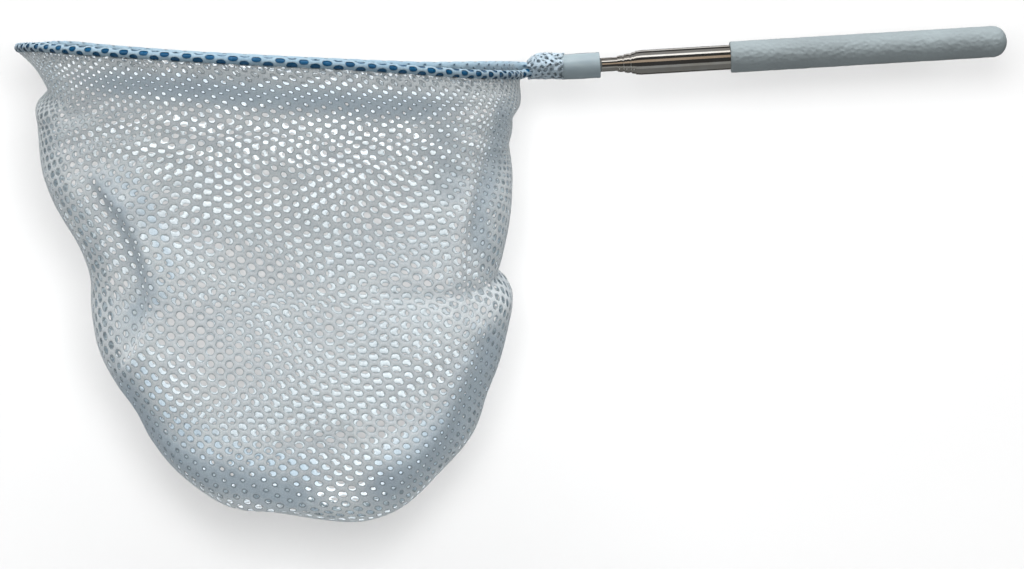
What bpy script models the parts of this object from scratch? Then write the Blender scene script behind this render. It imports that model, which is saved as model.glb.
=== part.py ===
"""Telescopic fish net: a soft grip on a five-section steel pole, and a mesh bag on a coated wire hoop.

Metres, +Z up. The origin is the centre of the grip, on the pole's axis. +X points out of the grip's
butt, the hoop lies towards -X, and the bag hangs towards -Z. The pole is pushed together.
"""

import math

import bmesh
import bpy
from mathutils import Vector

MM = 0.001

# Grip, a soft closed-end cover pushed over the outer tube
GRIP_LENGTH = 109.0 * MM
GRIP_DIAMETER = 12.3 * MM
GRIP_DOME_LENGTH = 5.6 * MM
GRIP_FRONT_ROUND = 0.45 * MM
GRIP_BUTT_WALL = 11.1 * MM
GRIP_BORE_CLEARANCE = 0.12 * MM

# Pole tubes, counted from the thinnest, tube 1, to the one in the grip, tube 5
TUBE_1_DIAMETER = 5.5 * MM
TUBE_WALL = 0.23 * MM
TUBE_5_STANDOUT = 37.3 * MM
TUBE_4_STANDOUT = 1.6 * MM
TUBE_3_STANDOUT = 2.8 * MM
TUBE_2_STANDOUT = 2.8 * MM
TUBE_1_STANDOUT = 6.8 * MM
TUBE_TAIL = 0.7 * MM

# Crimped mouth of each outer tube, which the next friction sleeve stops against
MOUTH_CLEARANCE = 0.14 * MM
MOUTH_LIP_LENGTH = 0.5 * MM
MOUTH_CONE_LENGTH = 0.5 * MM
TUBE_5_CONE_LENGTH = 1.6 * MM
RING_GROOVE_DEPTH = 0.08 * MM
RING_GROOVE_WIDTH = 0.5 * MM
RING_GROOVE_SETBACK = 2.3 * MM

# Split friction sleeves, each held between two beads rolled in its tube
SLEEVE_LENGTH = 10.0 * MM
SLEEVE_WALL = 0.175 * MM
SLEEVE_CLEARANCE = 0.05 * MM
SLEEVE_BOW = 0.02 * MM
SLEEVE_END_CLEARANCE = 0.1 * MM
BEAD_WIDTH = 0.8 * MM
BEAD_HEIGHT = 0.1 * MM
STOP_CLEARANCE = 0.3 * MM

# Plug that closes the outer tube, where the pushed-in tubes come to rest
PLUG_DEPTH = 4.0 * MM
PLUG_FLANGE = 1.5 * MM
PLUG_CLEARANCE = 0.1 * MM
PLUG_EDGE = 0.4 * MM

# Hoop socket, round at the pole and oval at the two wire legs
SOCKET_LENGTH = 15.4 * MM
SOCKET_POLE_DIAMETER = 10.0 * MM
SOCKET_HOOP_WIDTH = 11.2 * MM
SOCKET_HOOP_HEIGHT = 9.7 * MM
SOCKET_EDGE = 0.35 * MM
SPIGOT_LENGTH = 6.8 * MM
SPIGOT_WIDTH = 10.4 * MM
SPIGOT_HEIGHT = 7.4 * MM
TUBE_1_SEAT = 9.0 * MM
LEG_SEAT = 9.5 * MM
SEAT_CLEARANCE = 0.15 * MM

# Wire hoop, one steel wire in a blue plastic coating, bent up a little from the pole
HOOP_DIAMETER = 196.0 * MM
HOOP_TILT = math.radians(5.6)
HOOP_WARP = 1.6 * MM
HOOP_BEND_RADIUS = 10.0 * MM
CORE_DIAMETER = 2.0 * MM
COATING_DIAMETER = 3.0 * MM
COATING_CLEARANCE = 0.12 * MM
LEG_GAP = 0.8 * MM

# Net: the edge turned round the hoop, the bunched neck, two panels, their seam and the hem stitching
FABRIC_THICKNESS = 0.6 * MM
RIM_SLEEVE_DIAMETER = 3.8 * MM
RIM_SLEEVE_WALL = 0.2 * MM
RIM_SLEEVE_START = math.radians(45)
GATHER_WIDTH = 14.2 * MM
GATHER_HEIGHT = 10.8 * MM
GATHER_LIFT = 0.9 * MM
THREAD_DIAMETER = 0.5 * MM
BAG_DEPTH = 182.0 * MM
SEAM_WIDTH = 4.0 * MM
SEAM_THICKNESS = 0.8 * MM
SEAM_CLEARANCE = 0.5 * MM
FABRIC_CLEARANCE = 0.3 * MM

# Outline of the bag: how far along the hoop from tip to neck, and how far down the bag, as shares
TIP_SHARES = (
    (0.000, 0.000),
    (0.047, 0.084),
    (0.023, 0.168),
    (0.024, 0.239),
    (0.041, 0.320),
    (0.101, 0.445),
    (0.110, 0.548),
    (0.124, 0.651),
    (0.171, 0.756),
    (0.204, 0.831),
    (0.268, 0.906),
    (0.362, 0.966),
    (0.475, 0.991),
    (0.564, 1.000),
)
NECK_SHARES = (
    (1.000, 0.000),
    (0.990, 0.072),
    (0.967, 0.162),
    (0.971, 0.255),
    (0.954, 0.361),
    (0.931, 0.437),
    (0.954, 0.504),
    (0.935, 0.593),
    (0.890, 0.699),
    (0.847, 0.804),
    (0.784, 0.885),
    (0.693, 0.967),
    (0.564, 1.000),
)
# How far the bag stands out to the front and back, as a share of the hoop's radius, along its edge
BAG_SWELL_SHARES = (
    (0.00, 1.00),
    (0.06, 0.82),
    (0.13, 0.62),
    (0.22, 0.54),
    (0.50, 0.47),
    (0.70, 0.38),
    (0.84, 0.26),
    (0.94, 0.12),
    (1.00, 0.00),
)
# How far the middle of the bag's rows hangs below their ends, as a share of its depth
BAG_SAG_SHARES = ((0.00, 0.00), (0.07, 0.04), (0.15, 0.09), (0.30, 0.07), (0.60, 0.03), (1.00, 0.00))
# How much fuller than an ellipse the bag's level sections are, and how far down they are all of that
BAG_FLAT_SHARE = 0.25
BAG_FLAT_FROM_SHARE = 0.2
# Bunched neck: how far along it, then its width, height and lift there as shares of the full ones
GATHER_SWELL_SHARES = (
    (0.00, 0.98, 0.68, 1.00),
    (0.25, 1.00, 0.94, 1.00),
    (0.50, 0.98, 1.00, 0.90),
    (0.80, 0.95, 0.98, 0.50),
    (1.00, 0.92, 0.93, 0.20),
)

# Openings of each panel, far fewer than a real net has: every strand is one step wide and every opening two
MESH_OPENINGS_ACROSS = 10
MESH_OPENINGS_DOWN = 7

POLE_SIDES = 24
GRIP_SIDES = 32
DOME_STEPS = 5
LIP_STEPS = 2
LOFT_SIDES = 24
HOOP_STEPS = 44
BEND_STEPS = 4
SEAM_STEPS = 20
WIRE_BEVEL_RESOLUTION = 2
CORE_BEVEL_RESOLUTION = 1
THREAD_BEVEL_RESOLUTION = 0
SPLIT_SIDES = 1
MERGE = 0.001 * MM

# Places along the pole, worked out from the sizes above
grip_front_x = -GRIP_LENGTH / 2
grip_butt_x = GRIP_LENGTH / 2
bore_end_x = grip_butt_x - GRIP_BUTT_WALL
plug_rear_x = bore_end_x - STOP_CLEARANCE
tube_5_rear_x = plug_rear_x - PLUG_FLANGE - PLUG_CLEARANCE
plug_face_x = tube_5_rear_x - PLUG_DEPTH
tube_rear_x = plug_face_x - STOP_CLEARANCE

mouth_x = {5: grip_front_x - TUBE_5_STANDOUT}
mouth_x[4] = mouth_x[5] - TUBE_4_STANDOUT
mouth_x[3] = mouth_x[4] - TUBE_3_STANDOUT
mouth_x[2] = mouth_x[3] - TUBE_2_STANDOUT
socket_face_x = mouth_x[2] - TUBE_1_STANDOUT
tube_1_front_x = socket_face_x - TUBE_1_SEAT
socket_shoulder_x = socket_face_x - SOCKET_LENGTH
spigot_end_x = socket_shoulder_x - SPIGOT_LENGTH
bend_x = spigot_end_x - FABRIC_CLEARANCE

tube_gap = SLEEVE_WALL + SLEEVE_BOW + 2 * SLEEVE_CLEARANCE
tube_radius = {n: TUBE_1_DIAMETER / 2 + (n - 1) * (TUBE_WALL + tube_gap) for n in range(1, 6)}
cone_length = {n: MOUTH_CONE_LENGTH for n in range(2, 5)}
cone_length[5] = TUBE_5_CONE_LENGTH

# Every stage travels as far as the outermost one can, from its mouth's inner end to the plug
bead_space = SLEEVE_END_CLEARANCE + BEAD_WIDTH
deepest_sleeve_x = tube_rear_x - TUBE_TAIL - bead_space - SLEEVE_LENGTH


def stop_x(outer):
    """Where the sleeve inside this tube has its front end when the stage is pulled right out."""
    return mouth_x[outer] + MOUTH_LIP_LENGTH + cone_length[outer] + STOP_CLEARANCE


stage_travel = deepest_sleeve_x - stop_x(5)
sleeve_front_x = {n: stop_x(n + 1) + stage_travel for n in range(1, 5)}

leg_y = (COATING_DIAMETER + LEG_GAP) / 2
hoop_radius = HOOP_DIAMETER / 2
hoop_centre = math.sqrt(
    (hoop_radius + HOOP_BEND_RADIUS) ** 2 - (leg_y + HOOP_BEND_RADIUS) ** 2
)
bend_turn = math.acos((leg_y + HOOP_BEND_RADIUS) / (hoop_radius + HOOP_BEND_RADIUS))
ring_start = math.pi / 2 - bend_turn
rim_sleeve_radius = RIM_SLEEVE_DIAMETER / 2
panel_rows = 3 * MESH_OPENINGS_DOWN + 1
panel_columns = 3 * MESH_OPENINGS_ACROSS + 1


def clear_scene():
    for old in list(bpy.data.objects):
        bpy.data.objects.remove(old, do_unlink=True)


def new_collection(name, hidden=False):
    collection = bpy.data.collections.new(name)
    collection.hide_render = hidden
    bpy.context.scene.collection.children.link(collection)
    return collection


def new_material(name, colour, roughness, metallic=0.0):
    material = bpy.data.materials.new(name)
    material.use_nodes = True
    shader = material.node_tree.nodes["Principled BSDF"]
    shader.inputs["Base Color"].default_value = (*colour, 1.0)
    shader.inputs["Roughness"].default_value = roughness
    shader.inputs["Metallic"].default_value = metallic
    return material


def place(name, data, collection, material=None):
    piece = bpy.data.objects.new(name, data)
    collection.objects.link(piece)
    if material:
        data.materials.append(material)
    return piece


def shade(mesh):
    mesh.shade_smooth()
    mesh.set_sharp_from_angle(angle=math.radians(35))


def turned(name, profile, material, sides=POLE_SIDES, closed=True):
    """A turned piece on the pole's axis. The profile's (x, radius) points run from +X to -X outside."""
    middle = (profile[0][0] + profile[len(profile) // 2][0]) / 2
    mesh = bpy.data.meshes.new(name)
    points = [(radius, 0.0, x - middle) for x, radius in profile]
    edges = [(i, i + 1) for i in range(len(points) - 1)]
    if closed:
        edges.append((len(points) - 1, 0))
    mesh.from_pydata(points, edges, [])
    piece = place(name, mesh, parts, material)
    piece.location = (middle, 0.0, 0.0)
    piece.rotation_euler = (0.0, math.pi / 2, 0.0)
    add_screw(piece, sides, 2 * math.pi)
    return piece


def add_screw(piece, steps, angle):
    screw = piece.modifiers.new("Screw", "SCREW")
    screw.axis = "Z"
    screw.angle = angle
    screw.steps = steps
    screw.render_steps = steps
    screw.use_merge_vertices = True
    screw.merge_threshold = MERGE
    screw.use_smooth_shade = True


def add_wall(piece, thickness, offset):
    wall = piece.modifiers.new("Solidify", "SOLIDIFY")
    wall.thickness = thickness
    wall.offset = offset
    wall.use_even_offset = True
    wall.use_rim = True


def lofted(name, rings, collection, material=None):
    """A closed solid through rings that have the same number of points, from -X to +X."""
    mesh = bpy.data.meshes.new(name)
    shape = bmesh.new()
    rows = [[shape.verts.new(point) for point in ring] for ring in rings]
    for low, high in zip(rows, rows[1:]):
        for i in range(len(low)):
            j = (i + 1) % len(low)
            shape.faces.new((low[i], low[j], high[j], high[i]))
    shape.faces.new(rows[0][::-1])
    shape.faces.new(rows[-1])
    bmesh.ops.recalc_face_normals(shape, faces=shape.faces)
    shape.to_mesh(mesh)
    shape.free()
    shade(mesh)
    return place(name, mesh, collection, material)


def oval(x, half_width, half_height, lift=0.0, squareness=2.0):
    """A ring of points round the pole's axis at x, an ellipse or a fuller oval."""
    ring = []
    for i in range(LOFT_SIDES):
        turn = 2 * math.pi * i / LOFT_SIDES
        across, up = math.cos(turn), math.sin(turn)
        y = math.copysign(abs(across) ** (2 / squareness), across) * half_width
        z = math.copysign(abs(up) ** (2 / squareness), up) * half_height
        ring.append(Vector((x, y, z + lift)))
    return ring


def cut(piece, cutter):
    cutter.hide_render = True
    cutter.display_type = "WIRE"
    boolean = piece.modifiers.new("Cut " + cutter.name, "BOOLEAN")
    boolean.operation = "DIFFERENCE"
    boolean.object = cutter


def wire(name, points, radius, resolution, collection, material, capped=True):
    """A round wire through the points, as a curve."""
    curve = bpy.data.curves.new(name, "CURVE")
    curve.dimensions = "3D"
    curve.twist_mode = "Z_UP"
    curve.bevel_depth = radius
    curve.bevel_resolution = resolution
    curve.use_fill_caps = capped
    spline = curve.splines.new("POLY")
    spline.points.add(len(points) - 1)
    for control, point in zip(spline.points, points):
        control.co = (*point, 1.0)
    return place(name, curve, collection, material)


def wall_of_wire(name, points, radius, resolution, wall, material):
    """An open tube along the points: a wire's skin made a mesh, with its wall turned inwards."""
    guide = wire(name + "_guide", points, radius, resolution, cutters, None, capped=False)
    bpy.context.view_layer.update()
    graph = bpy.context.evaluated_depsgraph_get()
    mesh = bpy.data.meshes.new_from_object(guide.evaluated_get(graph))
    bpy.data.objects.remove(guide, do_unlink=True)
    mesh.name = name
    shade(mesh)
    piece = place(name, mesh, parts, material)
    add_wall(piece, wall, -1.0)
    return piece


def smooth_path(points, steps):
    """Points at even steps along a smooth curve through the given ones."""
    points = [Vector(point) for point in points]
    padded = [2 * points[0] - points[1], *points, 2 * points[-1] - points[-2]]
    fine = []
    for before, start, end, after in zip(padded, padded[1:], padded[2:], padded[3:]):
        for i in range(steps):
            t = i / steps
            bend = 2 * before - 5 * start + 4 * end - after
            twist = 3 * (start - end) + after - before
            fine.append(start + 0.5 * (t * (end - before) + t**2 * bend + t**3 * twist))
    fine.append(points[-1])
    lengths = [0.0]
    for here, there in zip(fine, fine[1:]):
        lengths.append(lengths[-1] + (there - here).length)
    path = []
    at = 0
    for i in range(steps + 1):
        goal = lengths[-1] * i / steps
        while at < len(fine) - 2 and lengths[at + 1] < goal:
            at += 1
        share = (goal - lengths[at]) / (lengths[at + 1] - lengths[at])
        path.append(fine[at].lerp(fine[at + 1], share))
    return path


def value_at(pairs, share):
    """The value at this share, on straight lines from each pair to the next."""
    for (low, first), (high, second) in zip(pairs, pairs[1:]):
        if share <= high:
            t = (share - low) / (high - low)
            return first + (second - first) * t
    return pairs[-1][1]


def hoop_point(out, across, lift=0.0):
    """A point of the hoop's plane, this far out from its bend towards the tip, then lifted."""
    if out <= 0:
        return Vector((bend_x - out, across, lift))
    along = out * math.cos(HOOP_TILT)
    return Vector((bend_x - along, across, out * math.sin(HOOP_TILT) + lift))


def ring_point(turn, drop=0.0):
    """A point of the ring at this turn from the neck, on the hoop's centreline or below it."""
    out = hoop_centre - hoop_radius * math.cos(turn)
    lift = HOOP_WARP * math.sin(turn) * math.cos(turn) ** 2 - drop
    return hoop_point(out, hoop_radius * math.sin(turn), lift)


def hoop_path(leg_length, start_turn, drop=0.0):
    """The hoop's centreline from one leg round to the other, or from partway round each bend."""
    half = []
    if leg_length:
        half.append(hoop_point(-leg_length, leg_y))
    for i in range(BEND_STEPS):
        turn = start_turn + (bend_turn - start_turn) * i / BEND_STEPS
        across = leg_y + HOOP_BEND_RADIUS * (1 - math.cos(turn))
        half.append(hoop_point(HOOP_BEND_RADIUS * math.sin(turn), across, -drop))
    sweep = 2 * (math.pi - ring_start)
    ring = [ring_point(ring_start + sweep * i / HOOP_STEPS, drop) for i in range(HOOP_STEPS + 1)]
    return half + ring + [Vector((p.x, -p.y, p.z)) for p in reversed(half)]


def bag_edge(shares, steps):
    """One side of the bag's outline in the plane of its seam, from the hem down to the bottom."""
    drop = rim_sleeve_radius + THREAD_DIAMETER + 2 * FABRIC_CLEARANCE + FABRIC_THICKNESS / 2
    tip, neck = ring_point(math.pi), ring_point(0.0)
    points = []
    for along, down in shares:
        point = tip.lerp(neck, along)
        point.z -= drop + (BAG_DEPTH - drop) * down
        points.append(point)
    return smooth_path(points, steps)


def make_grip():
    radius = GRIP_DIAMETER / 2
    bore = tube_radius[5] + GRIP_BORE_CLEARANCE
    profile = []
    for i in range(DOME_STEPS + 1):
        turn = math.pi / 2 * i / DOME_STEPS
        x = grip_butt_x - GRIP_DOME_LENGTH * (1 - math.cos(turn))
        profile.append((x, radius * math.sin(turn)))
    for i in range(LIP_STEPS + 1):
        turn = math.pi / 2 * i / LIP_STEPS
        x = grip_front_x + GRIP_FRONT_ROUND * (1 - math.sin(turn))
        profile.append((x, radius - GRIP_FRONT_ROUND * (1 - math.cos(turn))))
    profile += [
        (grip_front_x, bore),
        (bore_end_x, bore),
        (bore_end_x, 0.0),
    ]
    return turned("grip", profile, soft_grip, GRIP_SIDES, closed=False)


def make_end_plug():
    flange = tube_radius[5]
    body = tube_radius[5] - TUBE_WALL - PLUG_CLEARANCE
    flange_front_x = plug_rear_x - PLUG_FLANGE
    profile = [
        (plug_rear_x, 0.0),
        (plug_rear_x, flange - PLUG_EDGE),
        (plug_rear_x - PLUG_EDGE, flange),
        (flange_front_x, flange),
        (flange_front_x, body),
        (plug_face_x + PLUG_EDGE, body),
        (plug_face_x, body - PLUG_EDGE),
        (plug_face_x, 0.0),
    ]
    return turned("end_plug", profile, plug_plastic, closed=False)


def bead(x, radius):
    """A bead rolled outwards, its foot's rear end at x."""
    return [
        (x, radius),
        (x - BEAD_WIDTH / 2, radius + BEAD_HEIGHT),
        (x - BEAD_WIDTH, radius),
    ]


def make_tube(number):
    radius = tube_radius[number]
    bore = radius - TUBE_WALL
    rear_x = tube_5_rear_x if number == 5 else tube_rear_x
    outside = [(rear_x, radius)]
    if number < 5:
        front_x = sleeve_front_x[number]
        outside += bead(front_x + SLEEVE_LENGTH + bead_space, radius)
        outside += bead(front_x - SLEEVE_END_CLEARANCE, radius)
    if number == 1:
        outside.append((tube_1_front_x, radius))
        inside = [(tube_1_front_x, bore)]
    else:
        mouth = mouth_x[number]
        lip_x = mouth + MOUTH_LIP_LENGTH
        cone_x = lip_x + cone_length[number]
        lip_bore = tube_radius[number - 1] + MOUTH_CLEARANCE
        groove_x = mouth + RING_GROOVE_SETBACK + RING_GROOVE_WIDTH / 2
        if number < 5:
            outside += [
                (groove_x, radius),
                (groove_x - RING_GROOVE_WIDTH / 2, radius - RING_GROOVE_DEPTH),
                (groove_x - RING_GROOVE_WIDTH, radius),
            ]
        outside += [(cone_x, radius), (lip_x, lip_bore + TUBE_WALL), (mouth, lip_bore + TUBE_WALL)]
        inside = [(mouth, lip_bore), (lip_x, lip_bore), (cone_x, bore)]
    inside.append((rear_x, bore))
    return turned(f"tube_{number}", outside + inside, bright_steel)


def make_friction_sleeve(number):
    """Sheet bronze rolled round the tube, with its middle bowed out and a split along its length."""
    inner = tube_radius[number] + SLEEVE_CLEARANCE
    front_x = sleeve_front_x[number]
    name = f"friction_sleeve_{number}"
    shares = ((1.0, 0.0), (0.7, 1.0), (0.3, 1.0), (0.0, 0.0))
    points = [
        (inner + SLEEVE_BOW * bow, 0.0, SLEEVE_LENGTH * (along - 0.5)) for along, bow in shares
    ]
    mesh = bpy.data.meshes.new(name)
    mesh.from_pydata(points, [(i, i + 1) for i in range(len(points) - 1)], [])
    piece = place(name, mesh, parts, spring_bronze)
    piece.location = (front_x + SLEEVE_LENGTH / 2, 0.0, 0.0)
    piece.rotation_euler = (0.0, math.pi / 2, 0.0)
    steps = POLE_SIDES - SPLIT_SIDES
    add_screw(piece, steps, 2 * math.pi * steps / POLE_SIDES)
    add_wall(piece, SLEEVE_WALL, 1.0)
    return piece


def make_socket():
    pole = SOCKET_POLE_DIAMETER / 2
    wide, high = SOCKET_HOOP_WIDTH / 2, SOCKET_HOOP_HEIGHT / 2
    spigot_wide, spigot_high = SPIGOT_WIDTH / 2, SPIGOT_HEIGHT / 2
    middle_x = (socket_shoulder_x + socket_face_x) / 2
    middle_wide = (wide + pole) / 2
    rings = [
        oval(spigot_end_x, spigot_wide - SOCKET_EDGE, spigot_high - SOCKET_EDGE),
        oval(spigot_end_x + SOCKET_EDGE, spigot_wide, spigot_high),
        oval(socket_shoulder_x, spigot_wide, spigot_high),
        oval(socket_shoulder_x, wide - SOCKET_EDGE, high - SOCKET_EDGE),
        oval(socket_shoulder_x + SOCKET_EDGE, wide, high),
        oval(middle_x, middle_wide, pole + SOCKET_EDGE / 4),
        oval(socket_face_x - SOCKET_EDGE, pole, pole),
        oval(socket_face_x, pole - SOCKET_EDGE, pole - SOCKET_EDGE),
    ]
    socket = lofted("hoop_socket", rings, parts, socket_plastic)
    bore = tube_radius[1] + SEAT_CLEARANCE
    seat_x = tube_1_front_x - SEAT_CLEARANCE
    tube_seat = [oval(seat_x, bore, bore), oval(socket_face_x + SOCKET_EDGE, bore, bore)]
    cut(socket, lofted("tube_seat_cutter", tube_seat, cutters))
    slot_high = COATING_DIAMETER / 2 + SEAT_CLEARANCE
    slot_wide = leg_y + slot_high
    slot_end_x = spigot_end_x + LEG_SEAT + SEAT_CLEARANCE
    slot = [
        leg_slot(spigot_end_x - SOCKET_EDGE, slot_wide, slot_high),
        leg_slot(slot_end_x, slot_wide, slot_high),
    ]
    cut(socket, lofted("leg_slot_cutter", slot, cutters))
    return socket


def leg_slot(x, half_width, half_height):
    """A ring with straight sides and round ends, for two wires side by side."""
    straight = half_width - half_height
    ring = []
    half = LOFT_SIDES // 2
    for i in range(LOFT_SIDES):
        side = 1 if i < half else -1
        turn = math.pi * (i % half) / (half - 1) - math.pi / 2
        y = side * (straight + half_height * math.cos(turn))
        ring.append(Vector((x, y, side * half_height * math.sin(turn))))
    return ring


def make_gather():
    """Mesh bunched over the socket's spigot and the hoop's two bends."""
    rim_edge = (HOOP_BEND_RADIUS - rim_sleeve_radius) * math.sin(RIM_SLEEVE_START)
    start_x = bend_x - rim_edge + FABRIC_CLEARANCE
    end_x = socket_shoulder_x - FABRIC_CLEARANCE
    wide, high = GATHER_WIDTH / 2, GATHER_HEIGHT / 2
    rings = []
    for share, width, height, lift in GATHER_SWELL_SHARES:
        x = start_x + (end_x - start_x) * share
        rings.append(oval(x, wide * width, high * height, GATHER_LIFT * lift))
    gather = lofted("neck_gather", rings, parts, mesh_fabric)
    hole_wide = SPIGOT_WIDTH / 2 + FABRIC_CLEARANCE
    hole_high = SPIGOT_HEIGHT / 2 + FABRIC_CLEARANCE
    wire_high = COATING_DIAMETER / 2 + FABRIC_CLEARANCE
    hole = [
        oval(start_x - FABRIC_CLEARANCE, hole_wide, wire_high, GATHER_LIFT / 2, squareness=3.5),
        oval(bend_x - FABRIC_CLEARANCE, hole_wide, hole_high),
        oval(end_x + FABRIC_CLEARANCE / 2, hole_wide, hole_high),
    ]
    cut(gather, lofted("gather_hole_cutter", hole, cutters))
    return gather


def strand_edges(steps):
    """The steps at which the strands of the mesh begin and end."""
    return [i for i in range(steps + 1) if i % 3 < 2]


def make_panel(name, side):
    """One half of the bag, from the hem down to the seam, swelling to the front or the back."""
    tip_edge = bag_edge(TIP_SHARES, panel_rows)
    neck_edge = bag_edge(NECK_SHARES, panel_rows)
    edge_y = SEAM_THICKNESS / 2 + SEAM_CLEARANCE
    shape = bmesh.new()
    rows = []
    for i in strand_edges(panel_rows):
        share = i / panel_rows
        swell = value_at(BAG_SWELL_SHARES, share) * (hoop_radius - edge_y)
        sag = value_at(BAG_SAG_SHARES, share) * BAG_DEPTH
        power = 1 - BAG_FLAT_SHARE * min(1.0, share / BAG_FLAT_FROM_SHARE)
        row = []
        for j in strand_edges(panel_columns):
            turn = math.pi * j / panel_columns
            across, out = -math.cos(turn), math.sin(turn)
            along = 0.5 + 0.5 * math.copysign(abs(across) ** power, across)
            bulge = max(out, 0.0) ** power
            point = tip_edge[i].lerp(neck_edge[i], along)
            point.y = side * (edge_y + swell * bulge)
            warp = side * HOOP_WARP * out * across**2
            point.z += warp * (1 - share) ** 2 - sag * bulge
            row.append(shape.verts.new(point))
        rows.append(row)
    for i, (upper, lower) in enumerate(zip(rows, rows[1:])):
        for j in range(len(upper) - 1):
            opening = i % 2 and j % 2
            if not opening:
                shape.faces.new((upper[j], lower[j], lower[j + 1], upper[j + 1]))
    bmesh.ops.remove_doubles(shape, verts=shape.verts, dist=MERGE)
    bmesh.ops.recalc_face_normals(shape, faces=shape.faces)
    mesh = bpy.data.meshes.new(name)
    shape.to_mesh(mesh)
    shape.free()
    shade(mesh)
    panel = place(name, mesh, parts, mesh_fabric)
    add_wall(panel, FABRIC_THICKNESS, 0.0)
    return panel


def make_seam():
    """The two panels' edges sewn together: a flat strip that follows the bag's outline inside it."""
    outline = bag_edge(TIP_SHARES, SEAM_STEPS)[:-1] + bag_edge(NECK_SHARES, SEAM_STEPS)[::-1]
    inside = []
    for i, here in enumerate(outline):
        before, after = outline[max(i - 1, 0)], outline[min(i + 1, len(outline) - 1)]
        along = (after - before).normalized()
        inside.append(here + Vector((-along.z, 0.0, along.x)) * SEAM_WIDTH)
    curve = bpy.data.curves.new("side_seam", "CURVE")
    curve.dimensions = "2D"
    curve.fill_mode = "BOTH"
    curve.extrude = SEAM_THICKNESS / 2
    spline = curve.splines.new("POLY")
    corners = outline + inside[::-1]
    spline.points.add(len(corners) - 1)
    for control, corner in zip(spline.points, corners):
        control.co = (corner.x, corner.z, 0.0, 1.0)
    spline.use_cyclic_u = True
    seam = place("side_seam", curve, parts, seam_fabric)
    seam.rotation_euler = (math.pi / 2, 0.0, 0.0)
    return seam


def new_pivot(name, x, parent):
    """An empty on the pole's axis, which a sliding or turning body hangs from."""
    pivot = bpy.data.objects.new(name, None)
    pivot.empty_display_size = GRIP_DIAMETER
    parts.objects.link(pivot)
    pivot.location = (x, 0.0, 0.0)
    if parent:
        hang(pivot, parent)
    return pivot


def hang(piece, parent):
    bpy.context.view_layer.update()
    piece.parent = parent
    piece.matrix_parent_inverse = parent.matrix_world.inverted()


clear_scene()
parts = new_collection("telescopic_fish_net")
cutters = new_collection("cutters", hidden=True)

soft_grip = new_material("soft touch foam", (0.55, 0.63, 0.68), 0.75)
plug_plastic = new_material("moulded nylon", (0.75, 0.76, 0.76), 0.5)
bright_steel = new_material("drawn stainless steel", (0.62, 0.60, 0.57), 0.16, 1.0)
spring_bronze = new_material("phosphor bronze sheet", (0.72, 0.45, 0.22), 0.3, 1.0)
socket_plastic = new_material("moulded pale blue plastic", (0.47, 0.58, 0.66), 0.35)
spring_steel = new_material("spring steel wire", (0.45, 0.45, 0.46), 0.3, 1.0)
blue_coating = new_material("blue vinyl coating", (0.02, 0.17, 0.45), 0.35)
mesh_fabric = new_material("knitted polyester mesh", (0.50, 0.60, 0.68), 0.8)
seam_fabric = new_material("sewn mesh edge", (0.42, 0.52, 0.60), 0.8)

grip = make_grip()
end_plug = make_end_plug()
tubes = {n: make_tube(n) for n in range(1, 6)}
sleeves = {n: make_friction_sleeve(n) for n in range(1, 5)}
socket = make_socket()

core_path = hoop_path(LEG_SEAT + FABRIC_CLEARANCE, 0.0)
core = wire("hoop_core_wire", core_path, CORE_DIAMETER / 2, CORE_BEVEL_RESOLUTION, parts, spring_steel)
coating_wall = (COATING_DIAMETER - CORE_DIAMETER) / 2 - COATING_CLEARANCE
coating = wall_of_wire(
    "hoop_coating", core_path, COATING_DIAMETER / 2, WIRE_BEVEL_RESOLUTION, coating_wall, blue_coating
)
rim_path = hoop_path(0.0, RIM_SLEEVE_START)
rim_sleeve = wall_of_wire(
    "rim_sleeve", rim_path, rim_sleeve_radius, WIRE_BEVEL_RESOLUTION, RIM_SLEEVE_WALL, mesh_fabric
)
hem_drop = rim_sleeve_radius + FABRIC_CLEARANCE + THREAD_DIAMETER / 2
hem_path = hoop_path(0.0, RIM_SLEEVE_START, hem_drop)
hem = wire("hem_thread", hem_path, THREAD_DIAMETER / 2, THREAD_BEVEL_RESOLUTION, parts, seam_fabric)
gather = make_gather()
front_panel = make_panel("net_front_panel", -1)
back_panel = make_panel("net_back_panel", 1)
seam = make_seam()

handle_pivot = new_pivot("handle_pivot", 0.0, None)
stage_4_pivot = new_pivot("stage_4_pivot", mouth_x[4], handle_pivot)
stage_3_pivot = new_pivot("stage_3_pivot", mouth_x[3], stage_4_pivot)
stage_2_pivot = new_pivot("stage_2_pivot", mouth_x[2], stage_3_pivot)
stage_1_pivot = new_pivot("stage_1_pivot", sleeve_front_x[1], stage_2_pivot)
head_pivot = new_pivot("head_pivot", socket_face_x, stage_1_pivot)
for body, pieces in (
    (handle_pivot, (grip, end_plug, tubes[5])),
    (stage_4_pivot, (tubes[4], sleeves[4])),
    (stage_3_pivot, (tubes[3], sleeves[3])),
    (stage_2_pivot, (tubes[2], sleeves[2])),
    (stage_1_pivot, (sleeves[1],)),
    (head_pivot, (tubes[1], socket, core, coating, rim_sleeve, hem, gather)),
    (head_pivot, (front_panel, back_panel, seam)),
):
    for piece in pieces:
        hang(piece, body)

print(f"stage travel {stage_travel / MM:.2f} mm, socket face at {socket_face_x / MM:.2f} mm")
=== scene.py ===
import math

import bpy
import numpy as np
from mathutils import Matrix, Vector, noise


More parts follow.
